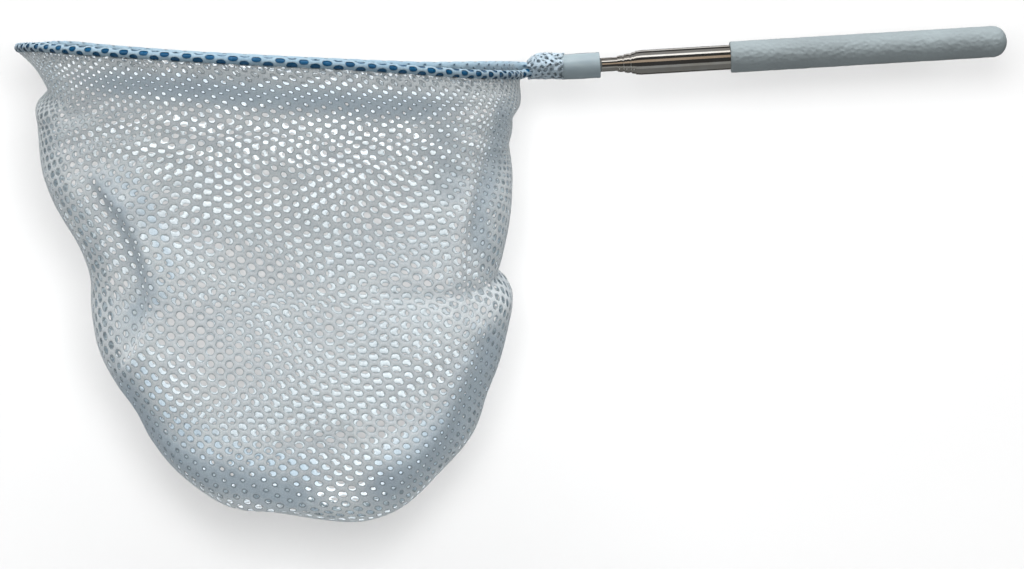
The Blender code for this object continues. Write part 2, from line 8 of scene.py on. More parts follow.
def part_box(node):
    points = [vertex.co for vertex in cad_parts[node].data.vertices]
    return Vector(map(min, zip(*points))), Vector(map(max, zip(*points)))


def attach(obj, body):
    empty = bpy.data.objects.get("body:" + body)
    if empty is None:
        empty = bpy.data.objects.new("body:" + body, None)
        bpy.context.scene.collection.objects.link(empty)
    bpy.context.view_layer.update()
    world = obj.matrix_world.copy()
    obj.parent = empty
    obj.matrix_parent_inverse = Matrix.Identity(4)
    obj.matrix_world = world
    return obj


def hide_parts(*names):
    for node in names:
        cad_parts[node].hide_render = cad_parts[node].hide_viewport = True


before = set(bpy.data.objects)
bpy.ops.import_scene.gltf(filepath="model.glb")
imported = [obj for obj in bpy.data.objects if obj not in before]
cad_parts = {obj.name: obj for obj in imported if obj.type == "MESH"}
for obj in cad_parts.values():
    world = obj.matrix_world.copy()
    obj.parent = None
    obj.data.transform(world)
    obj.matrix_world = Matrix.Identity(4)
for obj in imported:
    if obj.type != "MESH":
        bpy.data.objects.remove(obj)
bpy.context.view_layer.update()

mm = 0.001


# colours and nodes
def toLinear(hexColour):
    channels = [int(hexColour[i:i + 2], 16) / 255 for i in (1, 3, 5)]
    return tuple(c / 12.92 if c <= 0.04045 else ((c + 0.055) / 1.055) ** 2.4 for c in channels) + (1.0,)


def addNode(tree, kind, settings=None, inputs=None):
    node = tree.nodes.new(kind)
    for name, value in (settings or {}).items():
        setattr(node, name, value)
    for name, value in (inputs or {}).items():
        if isinstance(value, bpy.types.NodeSocket):
            tree.links.new(value, node.inputs[name])
        else:
            node.inputs[name].default_value = value
    return node


def startMaterial(name, look):
    material = bpy.data.materials.new(name)
    material.use_nodes = True
    shader = material.node_tree.nodes["Principled BSDF"]
    for socket, value in look.items():
        shader.inputs[socket].default_value = toLinear(value) if isinstance(value, str) else value
    return material, material.node_tree, shader


def tint(tree, factor, low, high, start=0.3, end=0.7):
    ramp = addNode(tree, "ShaderNodeValToRGB", inputs={"Fac": factor})
    ramp.color_ramp.elements[0].position = start
    ramp.color_ramp.elements[1].position = end
    ramp.color_ramp.elements[0].color = toLinear(low)
    ramp.color_ramp.elements[1].color = toLinear(high)
    return ramp.outputs["Color"]


def spread(tree, factor, low, high):
    return addNode(
        tree, "ShaderNodeMapRange", inputs={"Value": factor, "To Min": low, "To Max": high}
    ).outputs["Result"]


def texturePlace(tree, scale=(1.0, 1.0, 1.0)):
    coords = addNode(tree, "ShaderNodeTexCoord")
    return addNode(
        tree, "ShaderNodeMapping", inputs={"Vector": coords.outputs["Object"], "Scale": scale}
    ).outputs["Vector"]


def noiseAt(tree, where, size, detail=3.0, distortion=0.0):
    return addNode(tree, "ShaderNodeTexNoise", inputs={
        "Vector": where, "Scale": 1 / size, "Detail": detail, "Distortion": distortion}).outputs["Fac"]


def addBump(tree, shader, height, depth, strength=1.0):
    bump = addNode(
        tree, "ShaderNodeBump", inputs={"Height": height, "Distance": depth, "Strength": strength}
    )
    tree.links.new(bump.outputs["Normal"], shader.inputs["Normal"])
    return bump.outputs["Normal"]


# materials
gripLook = {
    "colour": "#858F92", "shade": "#7B8487", "grain": 1.5 * mm, "fineGrain": 0.4 * mm, "depth": 0.3 * mm,
    "fineShare": 0.22, "blotch": 14 * mm,
}


def makeGripRubber(s):  # moulded rubber with a leathery grain: dull, with soft highlights broken by pebbles
    material, tree, shader = startMaterial("mouldedRubberLeatherGrain", {"IOR": 1.48})
    where = texturePlace(tree, (0.8, 1.0, 1.0))
    pebbles = addNode(tree, "ShaderNodeTexVoronoi", {"feature": "SMOOTH_F1"}, {
        "Vector": where, "Scale": 1 / s["grain"], "Smoothness": 0.7, "Randomness": 1.0})
    fine = noiseAt(tree, where, s["fineGrain"])
    height = addNode(tree, "ShaderNodeMath", {"operation": "MULTIPLY_ADD"})
    tree.links.new(fine, height.inputs[0])
    height.inputs[1].default_value = s["fineShare"]
    tree.links.new(pebbles.outputs["Distance"], height.inputs[2])
    addBump(tree, shader, height.outputs[0], s["depth"])
    blotch = noiseAt(tree, where, s["blotch"], 4.0)
    tree.links.new(tint(tree, blotch, s["shade"], s["colour"]), shader.inputs["Base Color"])
    tree.links.new(spread(tree, fine, 0.5, 0.68), shader.inputs["Roughness"])
    return material


steelLook = {
    "colour": "#D4D2CE", "warm": "#C9C3BA", "drawLine": 0.12 * mm, "drawLength": 9 * mm, "depth": 0.0012 * mm,
    "smudge": 7 * mm,
}


def makeDrawnSteel(s):  # drawn and polished stainless tube: mirror streaks, faint lines along the draw
    material, tree, shader = startMaterial("drawnStainlessSteel", {"Metallic": 1.0})
    lengthways = texturePlace(tree, (s["drawLine"] / s["drawLength"], 1.0, 1.0))
    smudge = noiseAt(tree, texturePlace(tree), s["smudge"])
    addBump(tree, shader, noiseAt(tree, lengthways, s["drawLine"], 2.0), s["depth"])
    tree.links.new(tint(tree, smudge, s["warm"], s["colour"]), shader.inputs["Base Color"])
    tree.links.new(spread(tree, smudge, 0.05, 0.11), shader.inputs["Roughness"])
    return material


socketLook = {
    "colour": "#8C999E", "shade": "#859298", "flow": 3.5 * mm, "skin": 0.3 * mm, "depth": 0.005 * mm,
}


def makeSocketPlastic(s):  # injection-moulded polypropylene: satin gloss with faint flow marks
    material, tree, shader = startMaterial("mouldedPolypropylene", {"IOR": 1.49})
    flow = noiseAt(tree, texturePlace(tree, (0.35, 1.0, 1.0)), s["flow"], 4.0, 0.6)
    addBump(tree, shader, noiseAt(tree, texturePlace(tree), s["skin"], 2.0), s["depth"])
    tree.links.new(tint(tree, flow, s["shade"], s["colour"]), shader.inputs["Base Color"])
    tree.links.new(spread(tree, flow, 0.14, 0.22), shader.inputs["Roughness"])
    return material


vinylLook = {
    "colour": "#095078", "shade": "#073C5C", "streak": 5 * mm, "skin": 0.5 * mm, "depth": 0.012 * mm,
}


def makeVinyl(s):  # extruded PVC over the wire: wet-looking blue, slightly uneven along it
    material, tree, shader = startMaterial("extrudedVinyl", {"IOR": 1.53})
    uneven = noiseAt(tree, texturePlace(tree), s["streak"])
    addBump(tree, shader, noiseAt(tree, texturePlace(tree), s["skin"], 2.0), s["depth"])
    tree.links.new(tint(tree, uneven, s["shade"], s["colour"]), shader.inputs["Base Color"])
    tree.links.new(spread(tree, uneven, 0.2, 0.34), shader.inputs["Roughness"])
    return material


# each look's third colour is painted shade where the mesh bunches up; white paints none
netYarnLook = {"colour": "#EEF2F3", "shade": "#E5EAED", "bunched": "#DDE6ED", "loop": 0.62 * mm, "glow": 0.22}
# the rim yarn is the net's polyester made darker and bluer: painted shade on the tight band, with painted
# blue from the vinyl under it
rimYarnLook = {"colour": "#9DB3C0", "shade": "#8CA6B8", "bunched": "#FFFFFF", "loop": 0.5 * mm, "glow": 0.1}
# the gather yarn is the net's polyester made darker: painted shade on the bunched neck
gatherYarnLook = {
    "colour": "#BFCCD4", "shade": "#AFBFCA", "bunched": "#FFFFFF", "loop": 0.5 * mm, "glow": 0.1,
}
seamYarnLook = {"colour": "#DDE4E7", "shade": "#D3DCE1", "bunched": "#FFFFFF", "loop": 0.5 * mm, "glow": 0.3}
threadLook = {"colour": "#D3E0EA", "shade": "#C0D0DC", "bunched": "#FFFFFF", "loop": 0.3 * mm, "glow": 0.1}
yarnSurface = {
    # the tone between the loops is painted shade
    "loopDepth": 0.1 * mm, "blotch": 16 * mm, "unshaded": "#FFFFFF", "betweenLoopsPaintedShade": "#E6EAEC",
    # the tone at the hole edges is painted shade, where the yarn turns away
    "holeEdgePaintedShade": "#97A2A8",
}


def makeYarn(name, look):  # textured polyester filament: soft, ribbed by its loops, with light through it
    s = {**yarnSurface, **look}
    material, tree, shader = startMaterial(name, {"IOR": 1.5, "Sheen Weight": 0.15, "Sheen Roughness": 0.5})
    where = texturePlace(tree)
    loops = addNode(tree, "ShaderNodeTexVoronoi", inputs={
        "Vector": where, "Scale": 1 / s["loop"], "Randomness": 0.8}).outputs["Distance"]
    normal = addBump(tree, shader, loops, s["loopDepth"], 0.8)
    blotch = noiseAt(tree, where, s["blotch"], 4.0)
    base = tint(tree, blotch, s["shade"], s["colour"])
    nearHole = addNode(tree, "ShaderNodeAttribute", {"attribute_name": "nearHole"}).outputs["Fac"]
    closed = addNode(tree, "ShaderNodeAttribute", {"attribute_name": "closed"}).outputs["Fac"]
    # painted shade between the loops, darkest at their borders
    loopShade = tint(tree, loops, s["unshaded"], s["betweenLoopsPaintedShade"], 0.15, 0.8)
    # painted shade at the hole edges, where the yarn turns away
    holeShade = tint(tree, nearHole, s["unshaded"], s["holeEdgePaintedShade"], 0.62, 1.0)
    # painted shade where the mesh bunches up, by how far its openings close
    bunchedShade = tint(tree, closed, s["unshaded"], s["bunched"], 0.15, 0.6)
    # the painted shades are multiplied into the yarn's colour
    for dark in (loopShade, holeShade, bunchedShade):
        base = addNode(tree, "ShaderNodeMixRGB", {"blend_type": "MULTIPLY"}, {
            "Color1": base, "Color2": dark, "Fac": 1.0}).outputs["Color"]
    tree.links.new(base, shader.inputs["Base Color"])
    tree.links.new(spread(tree, loops, 0.62, 0.8), shader.inputs["Roughness"])
    through = addNode(tree, "ShaderNodeBsdfTranslucent", inputs={"Color": base, "Normal": normal})
    both = addNode(tree, "ShaderNodeMixShader", inputs={"Fac": s["glow"]})
    tree.links.new(shader.outputs["BSDF"], both.inputs[1])
    tree.links.new(through.outputs["BSDF"], both.inputs[2])
    tree.links.new(both.outputs["Shader"], tree.nodes["Material Output"].inputs["Surface"])
    return material


def makeInner(name, look, colour, shade, size, depth):  # one even tone with a faint mottle, for inner pieces
    material, tree, shader = startMaterial(name, look)
    mottle = noiseAt(tree, texturePlace(tree), size)
    addBump(tree, shader, mottle, depth)
    tree.links.new(tint(tree, mottle, shade, colour), shader.inputs["Base Color"])
    return material


gripRubber = makeGripRubber(gripLook)
steel = makeDrawnSteel(steelLook)
socketPlastic = makeSocketPlastic(socketLook)
vinyl = makeVinyl(vinylLook)
netYarn = makeYarn("warpKnittedPolyester", netYarnLook)
# a darker, bluer copy of the net yarn: painted shade and painted blue from the vinyl under it
rimYarn = makeYarn("warpKnittedPolyesterRim", rimYarnLook)
# a darker copy of the net yarn: painted shade on the bunched neck
gatherYarn = makeYarn("warpKnittedPolyesterGather", gatherYarnLook)
seamYarn = makeYarn("overlockedPolyester", seamYarnLook)
sewingThread = makeYarn("spunPolyesterThread", threadLook)
bronze = makeInner(  # rolled phosphor bronze: a warm satin metal
    "rolledPhosphorBronze", {"Metallic": 1.0, "Roughness": 0.3}, "#D9A36C", "#C08A55", 1.5 * mm, 0.002 * mm)
springWire = makeInner(  # drawn spring steel: a dull grey metal
    "drawnSpringWire", {"Metallic": 1.0, "Roughness": 0.32}, "#B4B4B6", "#98989A", 0.8 * mm, 0.002 * mm)
nylon = makeInner(  # moulded nylon: a pale plastic with soft highlights
    "mouldedNylon", {"Roughness": 0.45, "IOR": 1.53}, "#DCDEDD", "#CDD0D0", 2.5 * mm, 0.004 * mm)
print("materials ready")


# modelling
def deselectAll():
    if bpy.context.mode != "OBJECT":
        bpy.ops.object.mode_set(mode="OBJECT")
    bpy.ops.object.select_all(action="DESELECT")


def makeActive(piece):
    deselectAll()
    piece.select_set(True)
    bpy.context.view_layer.objects.active = piece


def turnedPiece(name, stations, sides, joined=False):
    x, wide, high = stations[0]
    deselectAll()
    bpy.ops.mesh.primitive_circle_add(
        vertices=sides, radius=1.0, location=(x, 0, 0), rotation=(0, math.pi / 2, 0)
    )
    piece = bpy.context.object
    piece.name = name
    piece.scale = (high, wide, 1.0)
    bpy.ops.object.transform_apply(location=True, rotation=True, scale=True)
    bpy.ops.object.mode_set(mode="EDIT")
    bpy.ops.mesh.select_all(action="SELECT")
    for nextX, nextWide, nextHigh in stations[1:]:
        bpy.ops.mesh.extrude_region_move(TRANSFORM_OT_translate={"value": (nextX - x, 0, 0)})
        bpy.ops.transform.resize(
            value=(1, nextWide / wide, nextHigh / high), center_override=(nextX, 0, 0)
        )
        x, wide, high = nextX, nextWide, nextHigh
    bpy.ops.mesh.select_all(action="DESELECT")
    bpy.ops.mesh.select_mode(type="EDGE")
    bpy.ops.mesh.select_non_manifold()
    if joined:
        bpy.ops.mesh.bridge_edge_loops()
    else:
        bpy.ops.mesh.fill_holes(sides=0)
    bpy.ops.mesh.select_all(action="SELECT")
    bpy.ops.mesh.normals_make_consistent(inside=False)
    bpy.ops.object.mode_set(mode="OBJECT")
    return piece


def finishPiece(piece, material, sharp=35):
    makeActive(piece)
    for modifier in list(piece.modifiers):
        bpy.ops.object.modifier_apply(modifier=modifier.name)
    bpy.ops.object.shade_smooth_by_angle(angle=math.radians(sharp))
    piece.data.materials.clear()
    piece.data.materials.append(material)
    return piece


def addBevel(piece, width, angle=28):
    bevel = piece.modifiers.new("Bevel", "BEVEL")
    bevel.width = width
    bevel.segments = 2
    bevel.limit_method = "ANGLE"
    bevel.angle_limit = math.radians(angle)


def ring(x, radius):
    return (x, radius, radius)


# pole
pole = {
    "tube1Radius": 2.75 * mm, "wall": 0.23 * mm, "gap": 0.295 * mm, "sides": 96,
    "mouths": {5: -91.8 * mm, 4: -93.4 * mm, 3: -96.2 * mm, 2: -99.0 * mm},
    "tube1Front": -114.8 * mm, "rear": 37.2 * mm, "tube5Rear": 41.5 * mm,
    "mouthClearance": 0.14 * mm, "lip": 0.5 * mm, "cone": 0.5 * mm, "tube5Cone": 1.6 * mm,
    "grooveDepth": 0.11 * mm, "grooveWidth": 0.5 * mm, "grooveSetback": 2.3 * mm,
    "beadHeight": 0.1 * mm, "beadWidth": 0.8 * mm, "beadGap": 0.1 * mm, "steps": 6, "bevel": 0.05 * mm,
}
sleeveEnds = {n: [corner.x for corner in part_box(f"friction_sleeve_{n}")] for n in range(1, 5)}
tubeRadius = {n: pole["tube1Radius"] + (n - 1) * (pole["wall"] + pole["gap"]) for n in range(1, 6)}


def ripple(x, radius, width, height, steps):  # a rolled bead, or a groove where the height is below zero
    return [
        ring(x - width * i / steps, radius + height * math.sin(math.pi * i / steps)) for i in range(steps + 1)
    ]


def tubeStations(n, s):
    radius = tubeRadius[n]
    bore = radius - s["wall"]
    rear = s["tube5Rear"] if n == 5 else s["rear"]
    outside = [ring(rear, radius)]
    if n < 5:  # two beads keep the friction sleeve in its place
        for foot in (sleeveEnds[n][1] + s["beadGap"] + s["beadWidth"], sleeveEnds[n][0] - s["beadGap"]):
            outside += ripple(foot, radius, s["beadWidth"], s["beadHeight"], s["steps"])
    if n == 1:
        front = s["tube1Front"]
        return outside + [ring(front, radius), ring(front, bore), ring(rear, bore)]
    mouth = s["mouths"][n]
    lipBore = tubeRadius[n - 1] + s["mouthClearance"]
    lipX = mouth + s["lip"]
    coneX = lipX + (s["tube5Cone"] if n == 5 else s["cone"])
    if n < 5:
        grooveX = mouth + s["grooveSetback"] + s["grooveWidth"] / 2
        outside += ripple(grooveX, radius, s["grooveWidth"], -s["grooveDepth"], s["steps"])
    for i in range(s["steps"] + 1):  # the crimp turns in to the lip
        t = i / s["steps"]
        eased = 0.35 * t + 0.65 * t * t * (3 - 2 * t)
        outside.append(ring(coneX + (lipX - coneX) * t, radius + (lipBore + s["wall"] - radius) * eased))
    inside = [ring(mouth, lipBore + s["wall"]), ring(mouth, lipBore), ring(lipX, lipBore)]
    return outside + inside + [ring(coneX, bore), ring(rear, bore)]


for n, body in ((5, "handle"), (4, "stage_4"), (3, "stage_3"), (2, "stage_2"), (1, "head")):
    tube = turnedPiece(f"poleTube{n}", tubeStations(n, pole), pole["sides"], joined=True)
    addBevel(tube, pole["bevel"])
    finishPiece(tube, steel)
    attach(tube, body)
    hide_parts(f"tube_{n}")
print("pole tubes turned")


# grip
gripSize = {
    "length": 109 * mm, "radius": 6.15 * mm, "dome": 5.6 * mm, "lip": 0.55 * mm, "bore": 4.97 * mm,
    "boreEnd": 43.4 * mm, "rings": 170, "sides": 80, "domeSteps": 16, "lipSteps": 6,
    "swell": 0.07 * mm, "swellSize": 2.6 * mm, "skin": 0.2 * mm,
}


def makeGrip(s):
    butt, front = s["length"] / 2, -s["length"] / 2
    stations = []
    for i in range(1, s["domeSteps"] + 1):
        turn = math.pi / 2 * i / s["domeSteps"]
        stations.append(ring(butt - s["dome"] * (1 - math.cos(turn)), s["radius"] * math.sin(turn)))
    straight = s["length"] - s["dome"] - s["lip"]
    for i in range(1, s["rings"] + 1):
        stations.append(ring(butt - s["dome"] - straight * i / s["rings"], s["radius"]))
    for i in range(1, s["lipSteps"] + 1):
        turn = math.pi / 2 * i / s["lipSteps"]
        rounded = s["radius"] - s["lip"] * (1 - math.cos(turn))
        stations.append(ring(front + s["lip"] * (1 - math.sin(turn)), rounded))
    stations += [ring(front, s["bore"]), ring(s["boreEnd"], s["bore"])]
    piece = turnedPiece("gripCover", stations, s["sides"])
    for vertex in piece.data.vertices:  # the moulded skin isn't quite even
        radial = Vector((0, vertex.co.y, vertex.co.z))
        if radial.length > s["bore"] + s["skin"] and vertex.co.x > front + s["lip"]:
            place = vertex.co / s["swellSize"]
            swell = noise.noise(place) + 0.5 * noise.noise(place * 2.3)
            vertex.co += radial.normalized() * s["swell"] * swell
    return finishPiece(piece, gripRubber, 50)


gripCover = makeGrip(gripSize)
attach(gripCover, "handle")
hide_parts("grip")
print("grip done")


# hoop socket
socketSize = {
    "face": -105.8 * mm, "shoulder": -121.2 * mm, "spigotEnd": -128.0 * mm, "edge": 0.4 * mm,
    "poleRadius": 5.0 * mm, "wide": 5.6 * mm, "high": 4.85 * mm, "barrel": 0.15 * mm,
    "spigotWide": 5.2 * mm, "spigotHigh": 3.7 * mm, "bore": 2.9 * mm, "boreEnd": -114.95 * mm,
    "slotWide": 3.55 * mm, "slotHigh": 1.65 * mm, "slotEnd": -118.35 * mm,
    "rim": 0.9 * mm, "rimRise": 0.1 * mm, "rimFall": 0.25 * mm, "sides": 96,
}


def makeSocket(s):
    stations = [ring(s["boreEnd"], s["bore"]), ring(s["face"], s["bore"])]
    raised = s["poleRadius"] + s["rimRise"]
    for i in range(7):
        turn = math.pi / 2 * i / 6
        back = s["edge"] * (1 - math.cos(turn))
        stations.append(ring(s["face"] - back, raised - s["edge"] * (1 - math.sin(turn))))
    rimEnd = s["face"] - s["edge"] - s["rim"]
    stations += [ring(rimEnd, raised), ring(rimEnd - s["rimFall"], s["poleRadius"])]
    bodyEnd = s["shoulder"] + s["edge"]
    for i in range(1, 9):
        t = i / 8
        bulge = s["poleRadius"] + s["barrel"] * math.sin(math.pi * t)
        wide = bulge + (s["wide"] - s["poleRadius"]) * t
        high = bulge + (s["high"] - s["poleRadius"]) * t
        stations.append((rimEnd + (bodyEnd - rimEnd) * t, wide, high))
    for i in range(1, 6):
        turn = math.pi / 2 * i / 5
        inset = s["edge"] * (1 - math.cos(turn))
        x = s["shoulder"] + s["edge"] * (1 - math.sin(turn))
        stations.append((x, s["wide"] - inset, s["high"] - inset))
    stations += [
        (s["shoulder"], s["spigotWide"], s["spigotHigh"]),
        (s["spigotEnd"] + s["edge"], s["spigotWide"], s["spigotHigh"]),
        (s["spigotEnd"], s["spigotWide"] - s["edge"], s["spigotHigh"] - s["edge"]),
        (s["spigotEnd"], s["slotWide"], s["slotHigh"]),
        (s["slotEnd"], s["slotWide"], s["slotHigh"]),
    ]
    return finishPiece(turnedPiece("hoopSocketBody", stations, s["sides"]), socketPlastic, 40)


socketBody = makeSocket(socketSize)
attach(socketBody, "head")
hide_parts("hoop_socket")
print("socket done")


# paths
def unit(vectors):
    return vectors / np.maximum(np.linalg.norm(vectors, axis=-1, keepdims=True), 1e-12)


def arcLength(points):
    return np.concatenate([[0.0], np.cumsum(np.linalg.norm(np.diff(points, axis=0), axis=1))])


def readAlong(values, length, goal):  # the values' three columns at these lengths along their path
    return np.stack([np.interp(goal, length, values[:, k]) for k in range(3)], axis=1)


def evenPoints(points, count):
    length = arcLength(points)
    return readAlong(points, length, np.linspace(0, length[-1], count))


def smoothPath(points, count):
    points = np.asarray(points, dtype=float)
    padded = np.concatenate([[2 * points[0] - points[1]], points, [2 * points[-1] - points[-2]]])
    t = np.linspace(0, 1, 12, endpoint=False)[:, None]
    rows = []
    for before, start, end, after in zip(padded, padded[1:], padded[2:], padded[3:]):
        bend = 2 * before - 5 * start + 4 * end - after
        twist = 3 * (start - end) + after - before
        rows.append(start + 0.5 * (t * (end - before) + t ** 2 * bend + t ** 3 * twist))
    return evenPoints(np.concatenate(rows + [points[-1:]]), count)


def linkMesh(name, vertices, faces, material):
    mesh = bpy.data.meshes.new(name)
    mesh.from_pydata(vertices.tolist(), [], faces)
    mesh.shade_smooth()
    mesh.materials.append(material)
    piece = bpy.data.objects.new(name, mesh)
    bpy.context.scene.collection.objects.link(piece)
    return piece


def tubeMesh(points, radius, sides, start=0):
    count = len(points)
    along = unit(np.gradient(points, axis=0))
    side = unit(np.cross(along, np.array([0.13, 0.21, 1.0])))
    for i in range(1, count):  # carried on from the last ring, so that the tube doesn't twist
        carried = side[i - 1] - along[i] * np.dot(side[i - 1], along[i])
        side[i] = carried / np.linalg.norm(carried)
    up = np.cross(along, side)
    turn = np.linspace(0, 2 * math.pi, sides, endpoint=False)[None, :, None]
    rings = points[:, None, :] + radius * (np.cos(turn) * side[:, None, :] + np.sin(turn) * up[:, None, :])
    i, j = np.meshgrid(np.arange(count - 1), np.arange(sides), indexing="ij")
    near, far = i * sides + j, i * sides + (j + 1) % sides
    faces = (start + np.stack([near, far, far + sides, near + sides], axis=-1).reshape(-1, 4)).tolist()
    faces.append([start + k for k in reversed(range(sides))])
    faces.append([start + (count - 1) * sides + k for k in range(sides)])
    return rings.reshape(-1, 3), faces


def threadPiece(name, runs, radius, sides, material):
    vertices, faces, start = [], [], 0
    for points in runs:
        ringPoints, ringFaces = tubeMesh(points, radius, sides, start)
        vertices.append(ringPoints)
        faces += ringFaces
        start += len(ringPoints)
    return linkMesh(name, np.concatenate(vertices), faces, material)


# hoop
hoop = {
    "radius": 98 * mm, "tilt": math.radians(5.6), "bend": 10 * mm, "bendX": -128.3 * mm,
    "coating": 1.5 * mm, "core": 1.0 * mm, "legGap": 0.8 * mm, "legSeat": 9.5 * mm,
    "sides": 20, "coreSides": 12,
    "frontLift": [(-1, 0), (-.95, .5), (-.88, .65), (-.74, .05), (-.55, -.4), (-.36, -.9), (-.08, -1.4),
                  (.3, -1.7), (.55, -2.4), (.8, -3.3), (1, -3)],
    "backLift": [(-1, 0), (-.93, 1.6), (-.88, 2.2), (-.74, 1.1), (-.55, .3), (-.36, -.3), (0, -.8),
                 (.4, -1.1), (.6, -1.1), (.77, -.3), (.9, .4), (1, .6)],
}
legY = hoop["coating"] + hoop["legGap"] / 2
hoopCentre = math.sqrt((hoop["radius"] + hoop["bend"]) ** 2 - (legY + hoop["bend"]) ** 2)
bendTurn = math.acos((legY + hoop["bend"]) / (hoop["radius"] + hoop["bend"]))
ringStart = math.pi / 2 - bendTurn
hoopUp = np.array([math.sin(hoop["tilt"]), 0.0, math.cos(hoop["tilt"])])


def hoopPoint(out, across, lift=0.0):
    x = hoop["bendX"] - np.where(out > 0, out * math.cos(hoop["tilt"]), out)
    z = np.where(out > 0, out * math.sin(hoop["tilt"]), 0.0) + lift
    return np.stack([x, np.broadcast_to(across, x.shape), z], axis=-1)


def hoopLift(side, across):  # the wire isn't quite flat, and its near side hangs lower than its far one
    spots, lifts = zip(*hoop["frontLift" if side < 0 else "backLift"])
    steps = np.linspace(-0.05, 0.05, 5)
    return sum(np.interp(across + step, spots, lifts) for step in steps) / 5 * mm


def ringPoint(turn, side):
    out = hoopCentre - hoop["radius"] * np.cos(turn)
    return hoopPoint(out, hoop["radius"] * np.sin(turn), hoopLift(side, np.cos(turn)))


def hoopSide(side, legLength, startTurn):
    turns = np.linspace(startTurn, bendTurn, 16, endpoint=False)
    lift = hoopLift(side, math.cos(ringStart)) * (turns / bendTurn) ** 0.5
    bend = hoopPoint(hoop["bend"] * np.sin(turns), side * (legY + hoop["bend"] * (1 - np.cos(turns))), lift)
    leg = hoopPoint(np.array([-legLength, -legLength / 2]), side * legY)[:2 if legLength else 0]
    return np.concatenate([leg, bend, ringPoint(side * np.linspace(ringStart, math.pi, 201), side)])


def hoopLine(legLength, startTurn):
    return np.concatenate([hoopSide(1, legLength, startTurn), hoopSide(-1, legLength, startTurn)[-2::-1]])


wireLine = hoopLine(hoop["legSeat"], 0.0)
hoopCoating = threadPiece("vinylCoating", [wireLine], hoop["coating"], hoop["sides"], vinyl)
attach(hoopCoating, "head")
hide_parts("hoop_coating")
hoopCore = threadPiece("springSteelCore", [wireLine], hoop["core"], hoop["coreSides"], springWire)
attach(hoopCore, "head")
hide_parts("hoop_core_wire")
print("hoop done")


# knitted mesh: hexagonal cells of lens-shaped yarn, laid on any surface
knit = {
    "across": 7.9 * mm, "down": 4.96 * mm, "holeAcross": 1.71 * mm, "holeDown": 1.42 * mm,
    "yarn": 0.64 * mm, "jitter": 0.09 * mm, "sizeSpread": 0.05, "seed": 3,
}


def cellShape(s):
    x, y = s["across"], s["down"]
    near, far = (x * x - y * y) / (4 * x), (x * x + y * y) / (4 * x)
    corners = np.array([(far, 0), (near, y / 2), (-near, y / 2), (-far, 0), (-near, -y / 2), (near, -y / 2)])
    border = np.empty((12, 2))
    border[0::2] = corners
    border[1::2] = (corners + np.roll(corners, -1, axis=0)) / 2
    angle = np.arctan2(border[:, 1] / s["holeDown"], border[:, 0] / s["holeAcross"])
    return border, np.stack([s["holeAcross"] * np.cos(angle), s["holeDown"] * np.sin(angle)], axis=1)


def cellCentres(s, lowP, highP, lowQ, highQ):
    centres = []
    for row in range(math.floor(lowQ / (s["down"] / 2)), math.ceil(highQ / (s["down"] / 2)) + 1):
        shift = s["across"] / 2 if row % 2 else 0.0
        first = math.floor((lowP - shift) / s["across"])
        last = math.ceil((highP - shift) / s["across"])
        centres += [(i * s["across"] + shift, row * s["down"] / 2) for i in range(first, last + 1)]
    return np.array(centres)


def turnOutwards(mesh):  # faces that enclose a negative volume point inwards
    count = len(mesh.polygons)
    areas = np.empty(count)
    normals = np.empty(3 * count)
    middles = np.empty(3 * count)
    mesh.polygons.foreach_get("area", areas)
    mesh.polygons.foreach_get("normal", normals)
    mesh.polygons.foreach_get("center", middles)
    if (areas * (normals * middles).reshape(-1, 3).sum(axis=1)).sum() < 0:
        mesh.flip_normals()


def writeValues(mesh, name, kind, domain, values):
    mesh.attributes.new(name, kind, domain).data.foreach_set("value", values)


